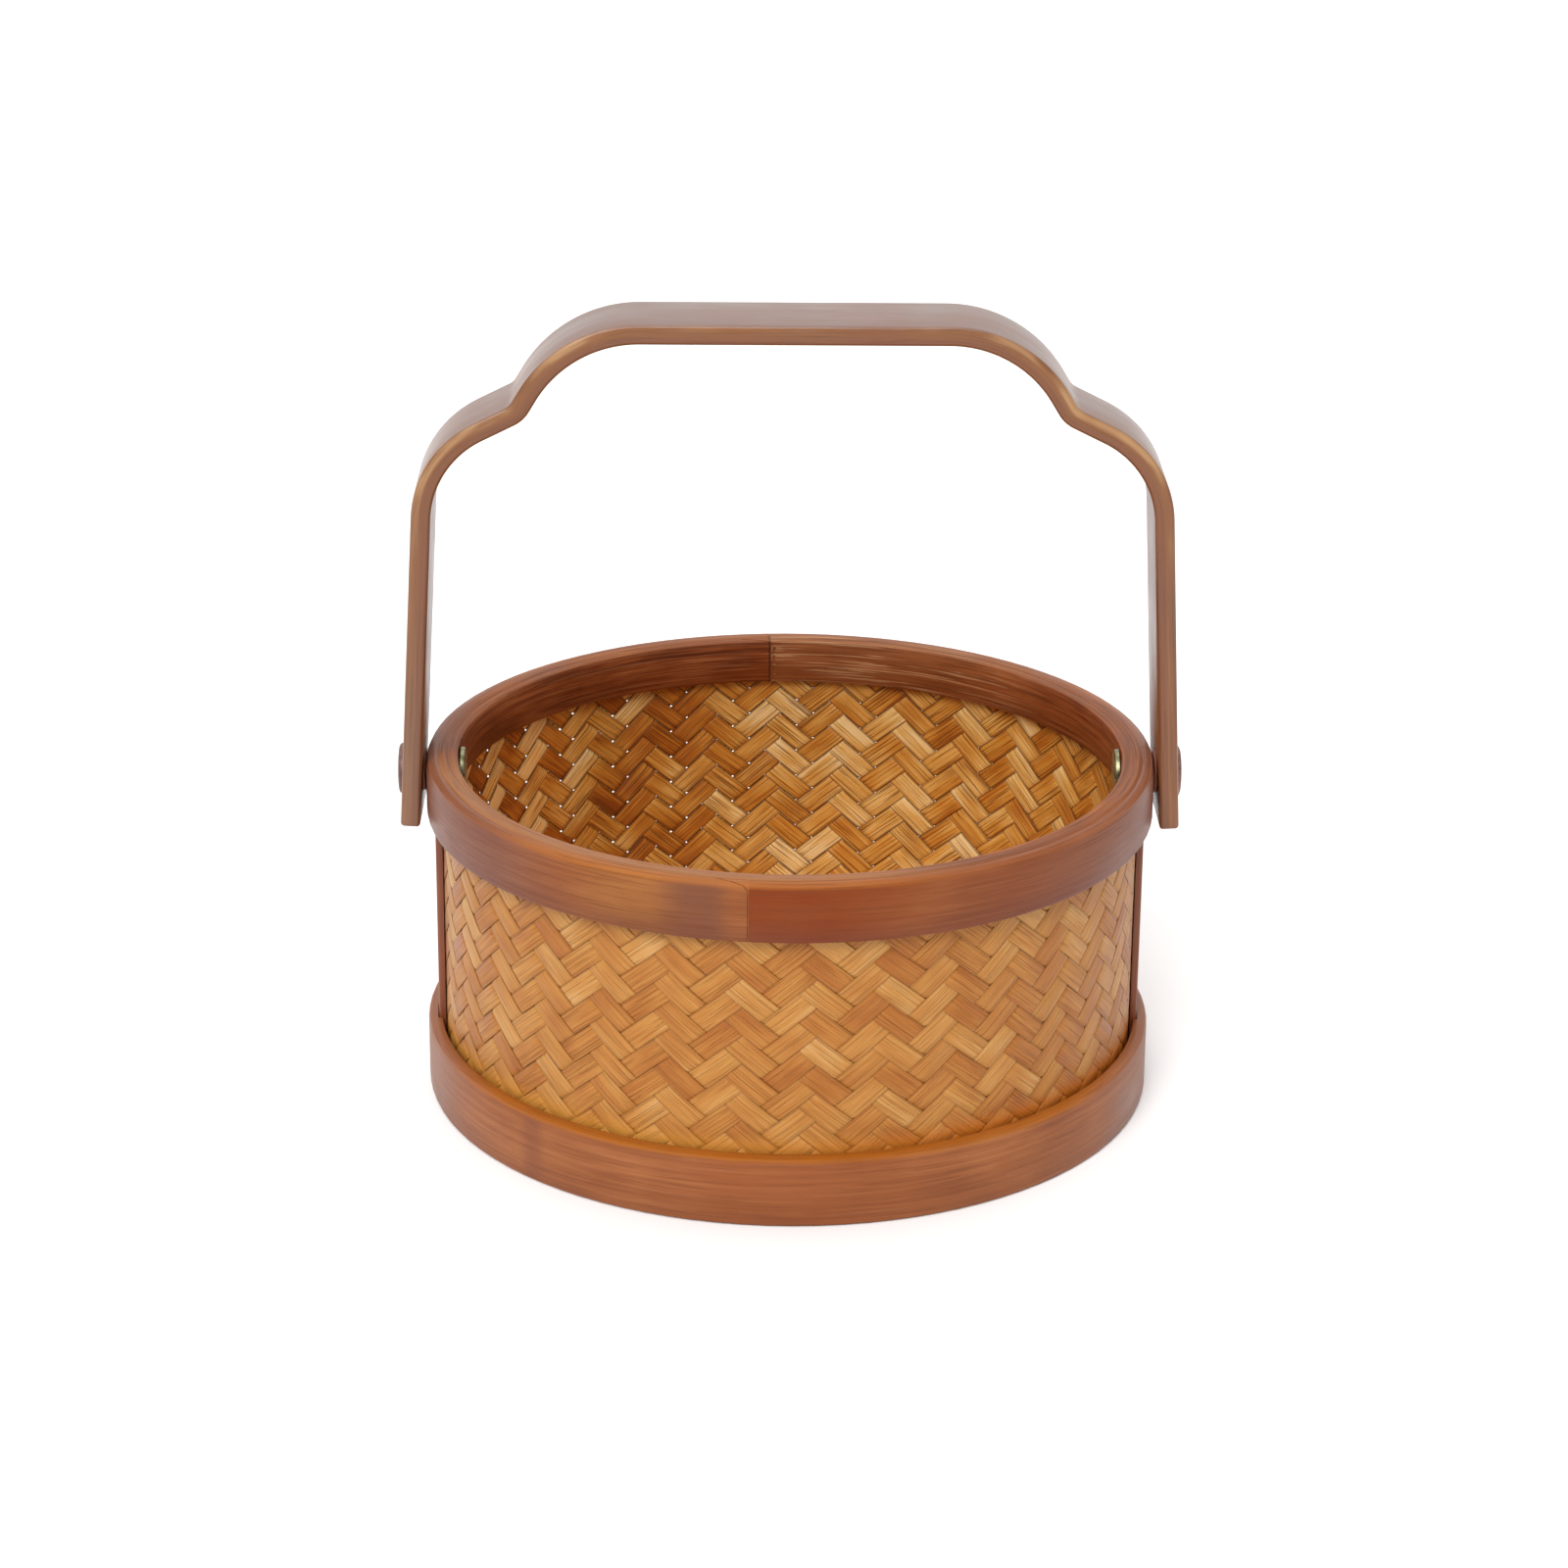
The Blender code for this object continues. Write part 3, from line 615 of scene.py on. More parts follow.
def weave_material():
    """Thin varnished strips, each with its own tone.

    Inside the basket they are crisper and warmer, with painted warm bounce light on the left.
    Painted shade darkens the seams between strips, and outside, just above the foot, they carry a
    painted warm glow and contact shade.
    """
    nodes = Nodes("woven_strips")
    fibre = nodes.fibre_map()
    fine, broad, patches, dark_lines = bamboo_fibres(nodes, fibre, 0.0006, 0.013, 1000)
    marks = nodes.new("ShaderNodeAttribute", attribute_name="marks").outputs["Vector"]
    tone, inside, edge = nodes.apart(marks)
    outside = nodes.range(inside, 0, 1, 1, 0)
    place = nodes.apart(nodes.own_place())
    x, z = place["X"], place["Z"]
    contrast = nodes.math("MULTIPLY_ADD", inside, 0.55, 0.62)
    floats = nodes.noise(fibre, (60, 30, 30), 1, 0.5, (31, 37, 41))
    grain = nodes.sum((fine, 0.95), (broad, 0.60), (patches, 0.35), (floats, 0.75))
    shade = nodes.math("MULTIPLY_ADD", nodes.math("SUBTRACT", grain, 0.5), contrast, 0.5)
    shade = nodes.math("MULTIPLY_ADD", nodes.math("SUBTRACT", tone, 0.5),
                       nodes.times(contrast, 0.75), shade)
    shade = nodes.math("MULTIPLY_ADD", inside, 0.10, shade)
    colour = nodes.ramp(shade, ((0.05, (0.25, 0.056, 0.005)), (0.33, (0.45, 0.143, 0.013)),
                                (0.58, (0.60, 0.262, 0.039)), (0.90, (0.77, 0.462, 0.138)),
                                (1.0, (0.86, 0.61, 0.29))))
    # Painted warm bounce light: the inside of the wall's left part is made warmer.
    left_inside_bounce = nodes.times(nodes.range(x, -0.085, -0.060, 1, 0), inside)
    colour = nodes.mix(left_inside_bounce, colour, (1.15, 1.0, 0.8), "MULTIPLY")
    line_share = nodes.math("MULTIPLY_ADD", inside, 0.45, 0.25)
    colour = nodes.mix(nodes.times(dark_lines, line_share), colour, (0.16, 0.042, 0.007))
    # Painted shade: darker along each strip's edges, in the seams between neighbouring strips.
    seam_shade = nodes.range(edge, 0.80, 1.0)
    colour = nodes.mix(nodes.times(seam_shade, line_share), colour, (0.13, 0.033, 0.006))
    # Painted warm glow and contact shade on the outside just above the foot hoop, yellower at the
    # left and oranger at the right.
    foot_glow = nodes.times(nodes.range(z, 0.0205, 0.027, 1, 0), outside)
    foot_glow_colour = nodes.mix(nodes.range(x, -0.05, 0.07), (0.80, 0.35, 0.042), (0.72, 0.19, 0.010))
    colour = nodes.tint(colour, foot_glow, 0.8, foot_glow_colour)
    colour = nodes.mix(outside, colour, (0.77, 0.76, 0.98), "MULTIPLY")
    nodes.bump(nodes.sum((fine, 0.6), (broad, 0.4), (dark_lines, -0.8)), STRIP_RELIEF)
    roughness = nodes.range(patches, *PATCH_RANGE, 0.38, 0.52)
    return nodes.finish(colour, roughness, Specular_IOR_Level=0.3)


def hoop_material(name, *, joint, bottom, top, colours, grain, roughness, specular, crest_highlight,
                  under, tints_and_sheens, streaks=()):
    """Bent, stained and varnished bamboo, with fibres along the hoop from its joint round to it.

    joint is the angle, in degrees, where the hoop's ends meet on the face that shows. colours
    are dark, middle and light, and grain is the fibres' contrast. crest_highlight is the painted
    highlight along the upper edge: its colour, share, depth and the sector where it is clear.
    under is the painted shade on the lower part: its colour and share. Each tint, painted sheen
    included, and each stretch of pale streaks, is a sector, a share and a colour.
    """
    nodes = Nodes(name)
    x, y, z = nodes.apart(nodes.own_place())
    angle = nodes.math("ARCTAN2", y, x)
    from_joint = nodes.math("SUBTRACT", angle, math.radians(joint))
    past_joint = nodes.math("WRAP", from_joint, 2 * math.pi, 0)
    reach = nodes.math("SQRT", nodes.math("ADD", nodes.times(x, x), nodes.times(y, y)))
    vector = nodes.combine(nodes.times(past_joint, HOOP_RADIUS), z, reach)
    fine, broad, patches, dark_lines = bamboo_fibres(nodes, vector, 0.0008, 0.03)
    shade = nodes.sum((fine, grain), (broad, grain), (patches, 0.60))
    dark, middle, light = colours
    colour = nodes.ramp(shade, ((0.2, dark), (0.5, middle), (0.8, light)))
    mottle = nodes.range(patches, *PATCH_RANGE, 0.72, 1.0)
    # Tints are the bamboo's own tones, nodes and joints, except the greyer ones at the hoop's
    # sides, which are painted sheen.
    stretches = [(tint, mottle) for tint in tints_and_sheens]
    if streaks:
        pale = nodes.range(nodes.noise(vector, (30, 1500, 1500), 1, 0.5, (43, 47, 53)), 0.53, 0.64)
        stretches += [(streak, pale) for streak in streaks]
    for (sector, share, target), pattern in stretches:
        place = nodes.times(nodes.sector(angle, *sector), pattern)
        colour = nodes.tint(colour, place, share, target)
    # Painted shade: the hoop's lower part is darker.
    under_shade_colour, under_shade_share = under
    low = nodes.range(z, bottom, bottom + UNDER_SHADE_HEIGHT * (top - bottom), 1, 0)
    colour = nodes.tint(colour, low, under_shade_share, under_shade_colour)
    # Painted highlight along the upper edge, clearest in the given sector.
    crest_highlight_colour, crest_highlight_share, depth, sector = crest_highlight
    clear = nodes.math("MULTIPLY_ADD", nodes.sector(angle, *sector), 1 - CREST_HIGHLIGHT_LEAST, CREST_HIGHLIGHT_LEAST)
    high = nodes.times(nodes.range(z, top - depth, top - CREST_HIGHLIGHT_MARGIN), clear)
    colour = nodes.tint(colour, high, crest_highlight_share, crest_highlight_colour)
    colour = nodes.tint(colour, dark_lines, 0.35, dark)
    nodes.fibre_bump(fine, broad, dark_lines)
    patchy_roughness = nodes.range(patches, *PATCH_RANGE, roughness - 0.05, roughness + 0.08)
    return nodes.finish(colour, patchy_roughness, Specular_IOR_Level=specular)


def handle_material():
    """Bent, varnished bamboo with fibres along the strip, paler along its outer front edge.
    That pale edge is a painted highlight with some wear, mostly at the upper bends; the upward
    faces carry a painted sheen, and the inner face and inner front edge painted shade.

    The map's girth runs round the section: the inner front corner, the narrow front face, the
    outer front corner, the wide outer face, and so on to the wide inner face.
    """
    nodes = Nodes("handle_bamboo_fine")
    vector = nodes.fibre_map()
    girth = nodes.apart(vector)["Y"]
    place = nodes.apart(nodes.own_place())
    x, z = place["X"], place["Z"]
    fine, broad, patches, dark_lines = bamboo_fibres(nodes, vector, 0.0004, 0.03)
    shade = nodes.sum((fine, 0.55), (broad, 0.80), (patches, 0.55))
    colour = nodes.ramp(shade, ((0.15, (0.120, 0.036, 0.009)), (0.5, (0.190, 0.063, 0.015)),
                                (0.85, (0.27, 0.103, 0.028))))
    corner = HANDLE_EDGE_RADIUS * math.pi / 2
    face = HANDLE_THICKNESS - 2 * HANDLE_EDGE_RADIUS
    whole = 4 * corner + 2 * face + 2 * (HANDLE_WIDTH - 2 * HANDLE_EDGE_RADIUS)
    inner_start = whole - HANDLE_WIDTH + 2 * HANDLE_EDGE_RADIUS
    front = nodes.window(girth, 0.2 * corner, corner, corner + face, 1.6 * corner + face)
    crown_front = nodes.times(front, nodes.range(z, 0.16, 0.20))
    colour = nodes.tint(colour, crown_front, 0.55, (0.205, 0.064, 0.004))
    low_left = nodes.times(nodes.range(z, 0.10, 0.17, 1, 0), nodes.range(x, -0.02, 0.02, 1, 0))
    colour = nodes.tint(colour, nodes.times(front, low_left), 0.5, (0.20, 0.105, 0.055))
    # Painted shade along the front face's inner edge, next to the shaded inner face.
    inner_edge_shade = nodes.window(girth, 0, 0.8 * corner, corner + 0.15 * face, corner + 0.6 * face)
    colour = nodes.tint(colour, inner_edge_shade, 0.4, (0.14, 0.034, 0.013))
    # Painted highlight with some wear: pale straw along the outer front edge, mostly at the upper
    # bends.
    edge = nodes.window(girth, corner + 0.5 * face, corner + 0.9 * face,
                        1.3 * corner + face, 2.4 * corner + face)
    edge_wear_and_highlight = nodes.range(nodes.noise(vector, (45, 150, 150), 2, 0.5, (41, 43, 47)), 0.38, 0.62)
    edge_wear_and_highlight = nodes.times(edge_wear_and_highlight, nodes.range(z, 0.165, 0.200, 0.05, 1))
    edge_wear_and_highlight = nodes.times(edge_wear_and_highlight, nodes.range(nodes.math("ABSOLUTE", x), 0.045, 0.062, 0.15, 1))
    colour = nodes.tint(colour, nodes.times(edge, edge_wear_and_highlight), 0.5, (0.55, 0.32, 0.14))
    # Painted sheen: faces turned upwards are greyer and paler.
    facing = nodes.apart(nodes.new("ShaderNodeTexCoord").outputs["Normal"])
    upward_sheen = nodes.range(facing["Z"], 0.25, 0.9)
    colour = nodes.tint(colour, upward_sheen, 0.38, (0.150, 0.120, 0.126))
    # Painted shade: the wide inner face is darker red brown.
    inner_face_shade = nodes.range(girth, inner_start + HANDLE_EDGE_RADIUS,
                             inner_start + 3 * HANDLE_EDGE_RADIUS)
    colour = nodes.tint(colour, inner_face_shade, 0.65, (0.15, 0.036, 0.013))
    knot = nodes.times(nodes.window(x, 0.010, 0.021, 0.028, 0.038), nodes.range(z, 0.19, 0.20))
    colour = nodes.tint(colour, knot, 0.2, (0.17, 0.040, 0.014))
    colour = nodes.tint(colour, dark_lines, 0.25, (0.10, 0.035, 0.016))
    nodes.fibre_bump(fine, broad, dark_lines)
    roughness = nodes.range(patches, *PATCH_RANGE, 0.30, 0.42)
    return nodes.finish(colour, roughness, Specular_IOR_Level=0.5,
                        Coat_Weight=0.3, Coat_Roughness=0.32)


def straight_material(name, along, dark, middle, light, roughness):
    """A straight bamboo strip, with fibres along X, Y or Z."""
    nodes = Nodes(name)
    x, y, z = nodes.apart(nodes.own_place())
    order = {"X": (x, y, z), "Y": (y, x, z), "Z": (z, y, x)}[along]
    fine, broad, patches, dark_lines = bamboo_fibres(nodes, nodes.combine(*order), 0.0004, 0.03)
    shade = nodes.sum((fine, 0.35), (broad, 0.5), (patches, 0.4))
    colour = nodes.ramp(shade, ((0.2, dark), (0.5, middle), (0.8, light)))
    nodes.fibre_bump(fine, broad, dark_lines)
    return nodes.finish(colour, roughness)


def metal_material(name, dark, light, roughness, metallic, scale):
    """Cast or turned metal with patchy tarnish and fine marks."""
    nodes = Nodes(name)
    place = nodes.own_place()
    patches = nodes.noise(place, (scale, scale, scale), 4, 0.6)
    marks = nodes.noise(place, (scale * 6, scale * 6, scale * 6), 3, 0.6, (5, 3, 1))
    colour = nodes.ramp(nodes.sum((patches, 1.2), (marks, 0.5)), ((0.25, dark), (0.75, light)))
    nodes.bump(marks, GRAIN_RELIEF)
    patchy_roughness = nodes.range(patches, *PATCH_RANGE, roughness - 0.06, roughness + 0.1)
    return nodes.finish(colour, patchy_roughness, Metallic=metallic)


def washer_material():
    """Pressed fibre in a pale red brown, painted paler than its own colour to lift the shade in
    the gap between the leg and the rim.
    """
    nodes = Nodes("washer_fibre_fine")
    grain = nodes.noise(nodes.own_place(), (2500, 2500, 2500), 3, 0.6)
    # Painted light: the washer's red brown is paler than its own, to lift the shade in the gap.
    colour = nodes.ramp(grain, ((0.3, (0.42, 0.13, 0.075)), (0.7, (0.58, 0.22, 0.13))))
    nodes.bump(grain, GRAIN_RELIEF)
    return nodes.finish(colour, 0.75)


def smoothing_group():
    """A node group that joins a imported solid's split triangles and shades its curves smooth."""
    group = bpy.data.node_groups.new("smooth_solid", "GeometryNodeTree")
    group.interface.new_socket("Geometry", in_out="INPUT", socket_type="NodeSocketGeometry")
    group.interface.new_socket("Geometry", in_out="OUTPUT", socket_type="NodeSocketGeometry")
    make = group.nodes.new
    link = group.links.new
    entry = make("NodeGroupInput")
    leave = make("NodeGroupOutput")
    drop = make("GeometryNodeRemoveAttribute")
    drop.inputs["Name"].default_value = "custom_normal"
    merge = make("GeometryNodeMergeByDistance")
    merge.inputs["Distance"].default_value = SOLID_MERGE
    soft = make("GeometryNodeSetShadeSmooth")
    angle = make("GeometryNodeInputMeshEdgeAngle")
    sharp = make("FunctionNodeCompare")
    sharp.data_type = "FLOAT"
    sharp.operation = "GREATER_THAN"
    sharp.inputs[1].default_value = SOLID_SHARP_ANGLE
    crease = make("GeometryNodeSetShadeSmooth")
    crease.domain = "EDGE"
    crease.inputs["Shade Smooth"].default_value = False
    link(entry.outputs[0], drop.inputs["Geometry"])
    link(drop.outputs["Geometry"], merge.inputs["Geometry"])
    link(merge.outputs["Geometry"], soft.inputs["Geometry"])
    link(soft.outputs["Geometry"], crease.inputs["Geometry"])
    link(angle.outputs["Unsigned Angle"], sharp.inputs[0])
    link(sharp.outputs["Result"], crease.inputs["Selection"])
    link(crease.outputs["Geometry"], leave.inputs[0])
    return group


def dress(node, material, group):
    """Give one of the frame's solids its material and smooth shading."""
    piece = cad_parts[node]
    piece.data.materials.clear()
    piece.data.materials.append(material)
    modifier = piece.modifiers.new("smooth", "NODES")
    modifier.node_group = group


def wall_limits(across, side):
    """Range along a wall strip between the wall's lower and upper edge."""
    low = WALL_BOTTOM / CROSSING_RISE
    high = WALL_TOP / CROSSING_RISE
    if side > 0:
        return across + low, across + high
    return across - high, across - low


def make_wall(material):
    """The herringbone wall: strips of two leans, each over two and under two."""
    draw = np.random.default_rng(SEED)
    for side, name in ((1, "wall_strips_rising"), (-1, "wall_strips_falling")):
        strips = StripMesh()
        for index in range(WALL_STRIPS):
            looseness = draw.uniform(*LOOSENESS_DRAW)

            def share_at(a, b):
                angle = (a + b) * crossing_run / WALL_RADIUS + WALL_PHASE
                loose = looseness * bump_round(angle, PINHOLE_CENTRE, PINHOLE_WIDTH)
                return WIDEST_SHARE - PINHOLE_SHARE * loose

            across, along, height = make_strip(index, side, wall_limits, share_at)
            a, b = (across, along) if side > 0 else (along, across)
            angle = (a + b) * crossing_run / WALL_RADIUS + WALL_PHASE
            rise = np.clip((b - a) * CROSSING_RISE, WALL_BOTTOM, WALL_TOP)
            reach = WALL_RADIUS + height
            points = np.stack([reach * np.cos(angle), reach * np.sin(angle), rise], axis=-1)
            girth = (across - index) * 2 * crossing_length + FIBRE_SHIFT * index
            fibre = np.stack([along * crossing_length, girth], axis=-1)
            tone = draw.uniform(*WALL_TONE_DRAW)
            # The sectors of each lean add tone, and on the left, for the second lean, painted
            # light.
            for centre, width, weight in WALL_SECTORS + LEAN_TONE_AND_LIGHT_SECTORS[side]:
                tone = tone + weight * bump_round(angle, centre, width)
            strips.add(points, fibre, strip_marks(across.shape, tone, back_inside=True))
        piece = add_piece(name, strips.finish(name), material, "basket")
        for sign in (-1, 1):
            cut_pivot(piece, wall_cut_outline(), sign)
        piece.data.name = name
        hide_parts("wall_weave")


def make_edge_band(material):
    """The wall's trimmed and stained upper edge, between the rim hoops."""
    def place(radius, height, angle):
        return radius * math.cos(angle), radius * math.sin(angle), height

    mesh = turned_mesh("wall_edge_band", EDGE_BAND, BAND_STEPS, closed=True, place=place)
    mesh.shade_smooth()
    mesh.set_sharp_from_angle(angle=BAND_SHARP_ANGLE)
    piece = add_piece("wall_edge_band", mesh, material, "basket")
    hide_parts("wall_weave")


def make_base(material):
    """The woven bottom, in the same weave as the wall."""
    draw = np.random.default_rng(SEED + 1)
    square = crossing_run ** 2 + CROSSING_RISE ** 2
    skew = crossing_run ** 2 - CROSSING_RISE ** 2
    widest = BASE_RADIUS * math.sqrt(square) / (2 * crossing_run * CROSSING_RISE)

    def limits(across, side):
        """Range along a strip inside the bottom's round edge, which is the same for both leans."""
        inside = np.clip(across, -widest, widest)
        under_root = (inside * skew) ** 2 - square * (square * inside ** 2 - BASE_RADIUS ** 2)
        root = np.sqrt(np.maximum(under_root, 0))
        return (-inside * skew - root) / square, (-inside * skew + root) / square

    def share_at(a, b):
        return np.full(np.shape(a + b), WIDEST_SHARE)

    count = math.ceil(widest)
    for side, name in ((1, "base_strips_first"), (-1, "base_strips_second")):
        strips = StripMesh()
        for index in range(-count, count + 1):
            if abs(index) + 0.5 > widest:
                continue
            across, along, height = make_strip(index, side, limits, share_at)
            a, b = (across, along) if side > 0 else (along, across)
            points = np.stack([(a + b) * crossing_run, (b - a) * CROSSING_RISE,
                               BASE_HEIGHT + height], axis=-1)
            shift = FIBRE_SHIFT * (index + BASE_FIBRE_OFFSET)
            girth = (across - index) * 2 * crossing_length + shift
            fibre = np.stack([along * crossing_length, girth], axis=-1)
            tone = draw.uniform(*BASE_TONE_DRAW)
            strips.add(points, fibre, strip_marks(across.shape, tone, back_inside=False))
        piece = add_piece(name, strips.finish(name), material, "basket")
        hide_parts("base_weave")


def make_handle():
    """The bent strip, with its bores and seats."""
    piece = new_object("handle_strip", handle_mesh())
    for sign in (-1, 1):
        cut_pivot(piece, leg_cut_outline(), sign)
    piece.data.materials.clear()
    piece.data.materials.append(handle_material())
    piece.data.name = "handle_strip"
    piece.data.shade_smooth()
    piece.data.set_sharp_from_angle(angle=HANDLE_SHARP_ANGLE)
    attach(piece, "handle")
    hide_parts("handle")


def rim_material():
    """The outer rim hoop: orange brown at the left, a dark node, and redder past its joint, with
    painted sheen at its sides, a painted highlight on its crest and painted shade low down.
    """
    sheen_grey = (0.140, 0.054, 0.043)
    return hoop_material(
        "rim_bamboo", joint=-96.8, bottom=RIM_OUTER_BOTTOM, top=RIM_TOP,
        colours=((0.14, 0.034, 0.009), (0.25, 0.075, 0.021), (0.35, 0.130, 0.045)),
        grain=0.38, roughness=0.36, specular=0.17,
        crest_highlight=((0.38, 0.120, 0.018), 0.7, 0.0020, (-152, -122, -86, -62)),
        under=((0.14, 0.038, 0.020), 0.5),
        tints_and_sheens=(((-96.9, -96.7, -88, -60), 0.95, (0.180, 0.027, 0.001)),
               ((-74, -60, -48, -30), 0.5, (0.150, 0.029, 0.012)),
               ((-128, -117, -112, -104), 0.5, (0.36, 0.145, 0.036)),
               ((-113, -105.5, -102.5, -98.5), 0.8, (0.15, 0.054, 0.030)),
               # These three tints are painted sheen: greyer at both sides and at the right.
               ((-181, -180, -145, -122), 0.7, sheen_grey),
               ((140, 165, 180, 181), 0.7, sheen_grey),
               ((-60, -18, 0, 30), 0.7, (0.145, 0.056, 0.046)),
               ((0.2, 0.6, 1.4, 2.0), 0.6, (0.10, 0.030, 0.015)),
               ((177.6, 178.1, 178.6, 179.2), 0.5, (0.12, 0.035, 0.020))))


def foot_material():
    """The foot hoop: lighter than the rim and redder at the front, with a painted sheen that makes
    both sides greyer, a painted highlight on its crest and painted shade low down.
    """
    sheen_grey = (0.17, 0.080, 0.058)
    return hoop_material(
        "foot_bamboo", joint=103.8, bottom=0, top=FOOT_TOP,
        colours=((0.165, 0.044, 0.013), (0.282, 0.089, 0.027), (0.385, 0.147, 0.052)),
        grain=0.42, roughness=0.36, specular=0.21,
        crest_highlight=((0.37, 0.108, 0.004), 0.7, 0.0020, (-160, -138, -46, -24)),
        under=((0.21, 0.060, 0.018), 0.3),
        tints_and_sheens=(((-110, -98, -82, -62), 0.5, (0.235, 0.056, 0.011)),
               # These three tints are painted sheen: greyer at both sides and at the right.
               ((-181, -180, -165, -140), 0.45, sheen_grey),
               ((140, 165, 180, 181), 0.45, sheen_grey),
               ((-40, -14, 0, 30), 0.4, (0.17, 0.080, 0.060)),
               ((-136, -133.5, -132.5, -130), 0.45, (0.16, 0.050, 0.026))))


def inner_hoop_material():
    """The inner rim hoop: dark red brown, and paler at the right of its joint, with a painted
    highlight on its top edge and painted shade low down.
    """
    return hoop_material(
        "inner_bamboo", joint=92.95, bottom=RIM_INNER_BOTTOM, top=RIM_TOP,
        colours=((0.08, 0.014, 0.003), (0.20, 0.044, 0.009), (0.36, 0.112, 0.032)),
        grain=0.75, roughness=0.46, specular=0.15,
        crest_highlight=((0.33, 0.130, 0.042), 0.9, 0.0007, (-179, -165, -84, -60)),
        under=((0.12, 0.024, 0.005), 0.35),
        tints_and_sheens=(((20, 60, 92.8, 93.1), 0.55, (0.27, 0.090, 0.028)),
               ((92.7, 92.95, 93.1, 93.4), 0.8, (0.03, 0.007, 0.002))),
        streaks=(((30, 62, 92.6, 92.9), 0.60, (0.54, 0.30, 0.15)),
                 ((93.2, 100, 130, 170), 0.22, (0.45, 0.20, 0.09))))


def dress_frame():
    """Give the frame's own solids their materials. Returns the inner hoop's."""
    group = smoothing_group()
    inner = inner_hoop_material()
    stile = straight_material("stile_bamboo_fine", "Z", (0.12, 0.026, 0.008), (0.20, 0.052, 0.016),
                              (0.29, 0.092, 0.032), 0.45)
    slat_colours = ((0.22, 0.10, 0.035), (0.36, 0.19, 0.07), (0.48, 0.28, 0.12))
    # Painted light: the left cap is darker and the right cap paler, as shaded and lit copies of one
    # bronze.
    cap_lit_and_shaded_colours = {"left": ((0.09, 0.042, 0.036), (0.21, 0.110, 0.092)),
                   "right": ((0.18, 0.080, 0.060), (0.36, 0.190, 0.150))}
    brass = metal_material("screw_brass_fine", (0.15, 0.15, 0.08), (0.42, 0.41, 0.25), 0.38, 1, 400)
    dress("rim_hoop_outer", rim_material(), group)
    dress("foot_hoop_outer", foot_material(), group)
    dress("rim_hoop_inner", inner, group)
    dress("foot_hoop_inner", inner, group)
    dress("base_slat_x", straight_material("slat_bamboo_x", "X", *slat_colours, 0.55), group)
    dress("base_slat_y", straight_material("slat_bamboo_y", "Y", *slat_colours, 0.55), group)
    washer = washer_material()
    for side in ("left", "right"):
        cap = metal_material("cap_bronze_painted_light_" + side, *cap_lit_and_shaded_colours[side], 0.42, 0.3, 300)
        dress("side_stile_" + side, stile, group)
        dress("pivot_post_" + side, cap, group)
        dress("pivot_screw_" + side, brass, group)
        dress("pivot_washer_" + side, washer, group)
    return inner


def make_floor():
    """A plain pale floor."""
    bm = bmesh.new()
    bmesh.ops.create_grid(bm, x_segments=1, y_segments=1, size=FLOOR_HALF_SIZE)
    mesh = bpy.data.meshes.new("floor")
    bm.to_mesh(mesh)
    bm.free()
    floor = new_object("floor", mesh)
    nodes = Nodes("pale_floor")
    mesh.materials.append(nodes.finish((0.95, 0.95, 0.95, 1), 0.7))


def soft_light(name, direction, width, power):
    """A wide, distant, white light that shines from a direction."""
    light = bpy.data.lights.new(name, "SUN")
    light.angle = math.radians(width)
    light.energy = power
    lamp = new_object(name, light)
    lamp.location = direction
    lamp.rotation_euler = (-Vector(direction)).to_track_quat("-Z", "Y").to_euler()


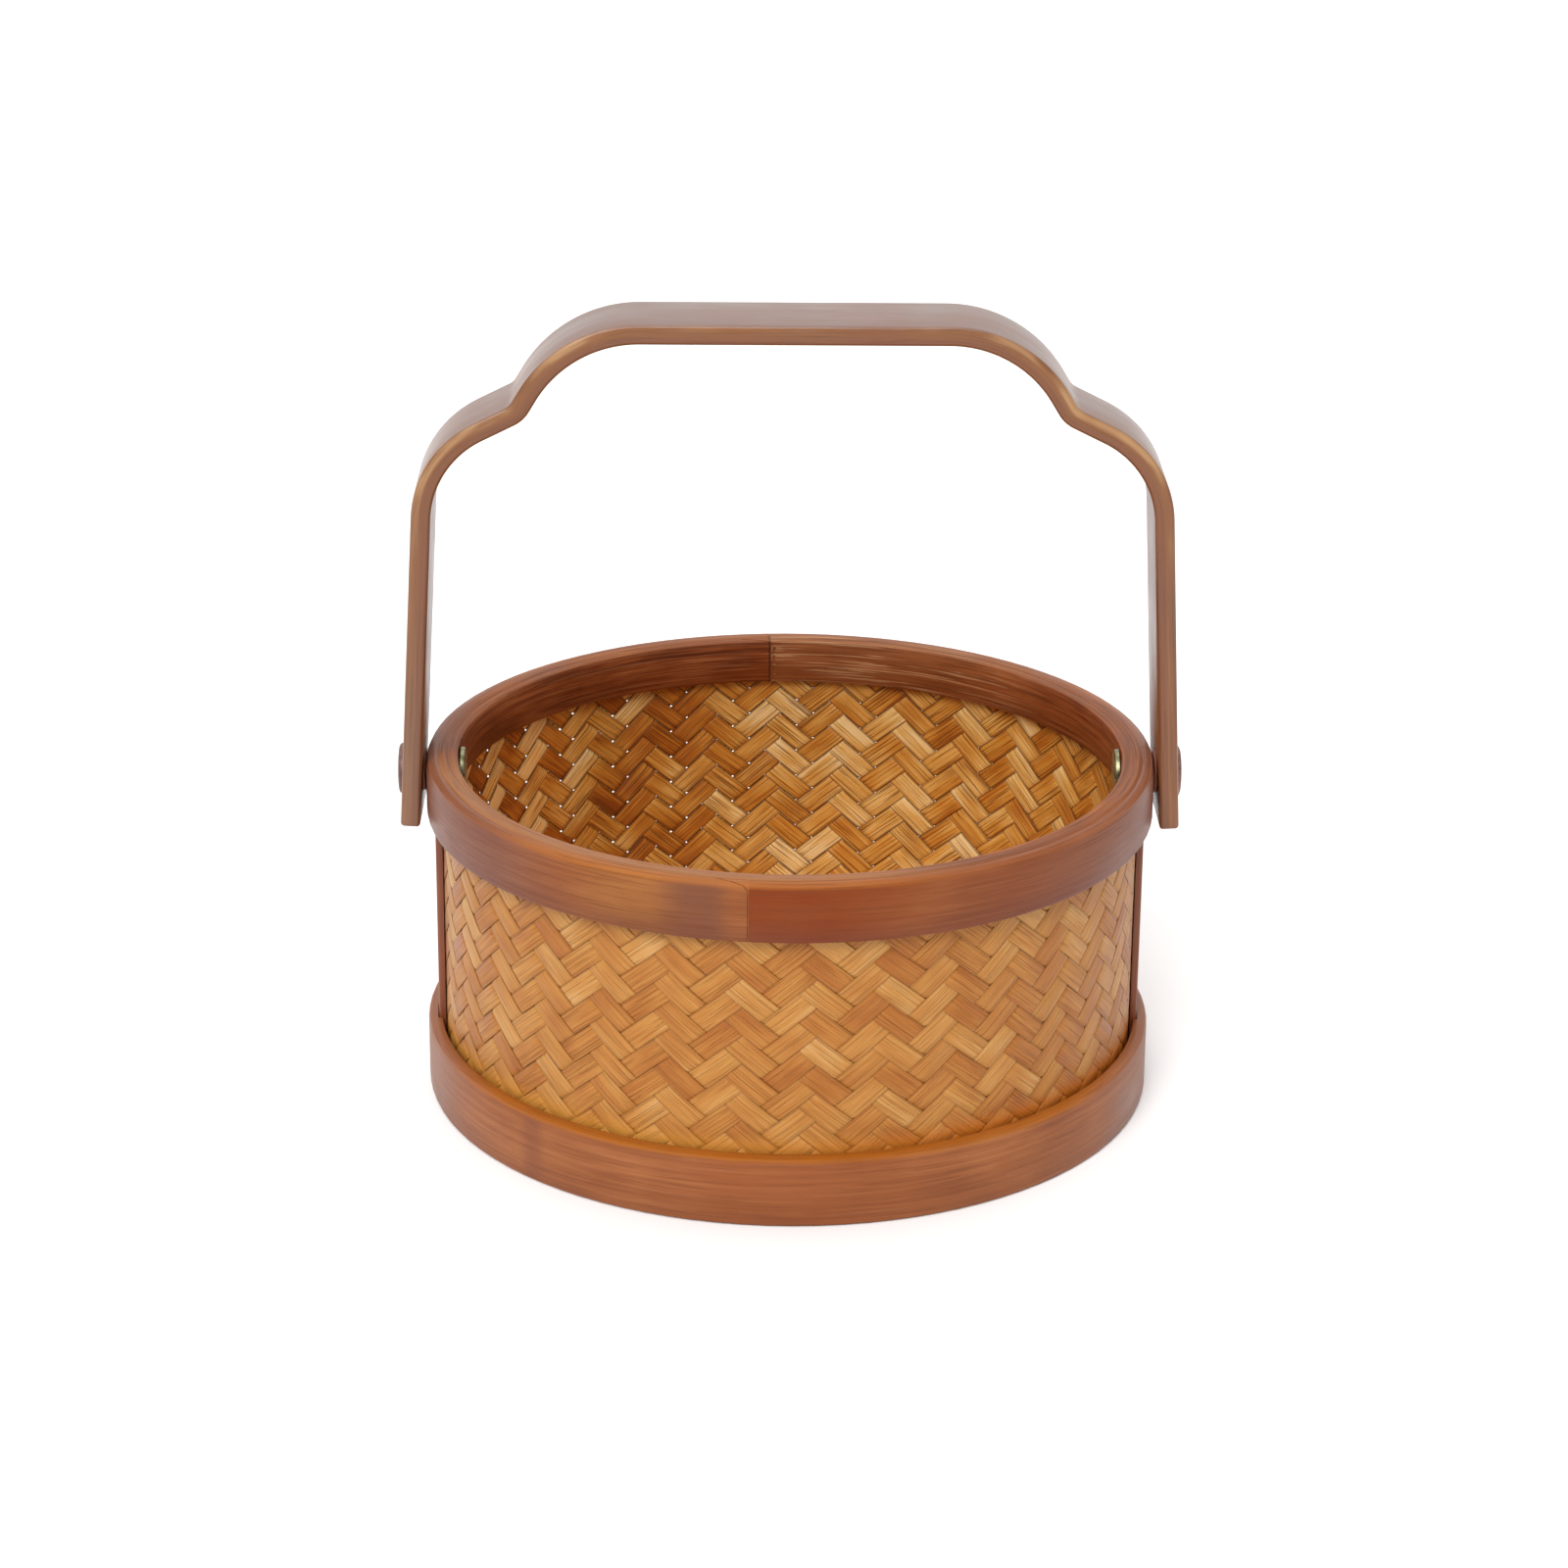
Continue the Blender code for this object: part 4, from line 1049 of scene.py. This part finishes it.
def make_world():
    """White light from all round, brighter from behind the basket, and plain white to see."""
    world = bpy.data.worlds.new("studio")
    bpy.context.scene.world = world
    world.use_nodes = True
    nodes = world.node_tree.nodes
    link = world.node_tree.links.new
    background = nodes["Background"]
    background.inputs["Color"].default_value = (1, 1, 1, 1)
    direction = nodes.new("ShaderNodeTexCoord")
    apart = nodes.new("ShaderNodeSeparateXYZ")
    spread = nodes.new("ShaderNodeMapRange")
    limits = ("From Min", "From Max", "To Min", "To Max")
    for socket, value in zip(limits, WORLD_CHANGE + WORLD_STRENGTHS):
        spread.inputs[socket].default_value = value
    link(direction.outputs["Generated"], apart.inputs[0])
    link(apart.outputs["Y"], spread.inputs["Value"])
    path = nodes.new("ShaderNodeLightPath")
    seen = nodes.new("ShaderNodeMix")
    seen.data_type = "FLOAT"
    seen.inputs["B"].default_value = 1.0
    link(path.outputs["Is Camera Ray"], seen.inputs["Factor"])
    link(spread.outputs["Result"], seen.inputs["A"])
    link(seen.outputs["Result"], background.inputs["Strength"])


def make_lights():
    """Soft white studio light: all round, from above, and a key light from the left front."""
    make_world()
    for settings in SOFT_LIGHTS:
        soft_light(*settings)


def make_camera():
    """The photograph's camera."""
    forward = Vector((math.sin(CAMERA_YAW) * math.cos(CAMERA_PITCH),
                      math.cos(CAMERA_YAW) * math.cos(CAMERA_PITCH), -math.sin(CAMERA_PITCH)))
    right = Vector((math.cos(CAMERA_YAW), -math.sin(CAMERA_YAW), 0))
    up = right.cross(forward)
    turned_right = right * math.cos(CAMERA_ROLL) + up * math.sin(CAMERA_ROLL)
    turned_up = up * math.cos(CAMERA_ROLL) - right * math.sin(CAMERA_ROLL)
    camera_data = bpy.data.cameras.new("camera")
    camera_data.sensor_width = SENSOR_WIDTH
    camera_data.lens = FOCAL_PIXELS / FRAME_PIXELS * SENSOR_WIDTH
    camera_data.clip_end = CLIP_END
    camera = new_object("camera", camera_data)
    rotation = Matrix((turned_right, turned_up, -forward)).transposed().to_4x4()
    camera.matrix_world = Matrix.Translation(CAMERA_PLACE) @ rotation
    bpy.context.scene.camera = camera


make_camera()
make_lights()
make_floor()
weave = weave_material()
make_wall(weave)
make_base(weave)
make_handle()
make_edge_band(dress_frame())
bpy.context.scene.view_settings.view_transform = "Standard"

bpy.context.view_layer.update()
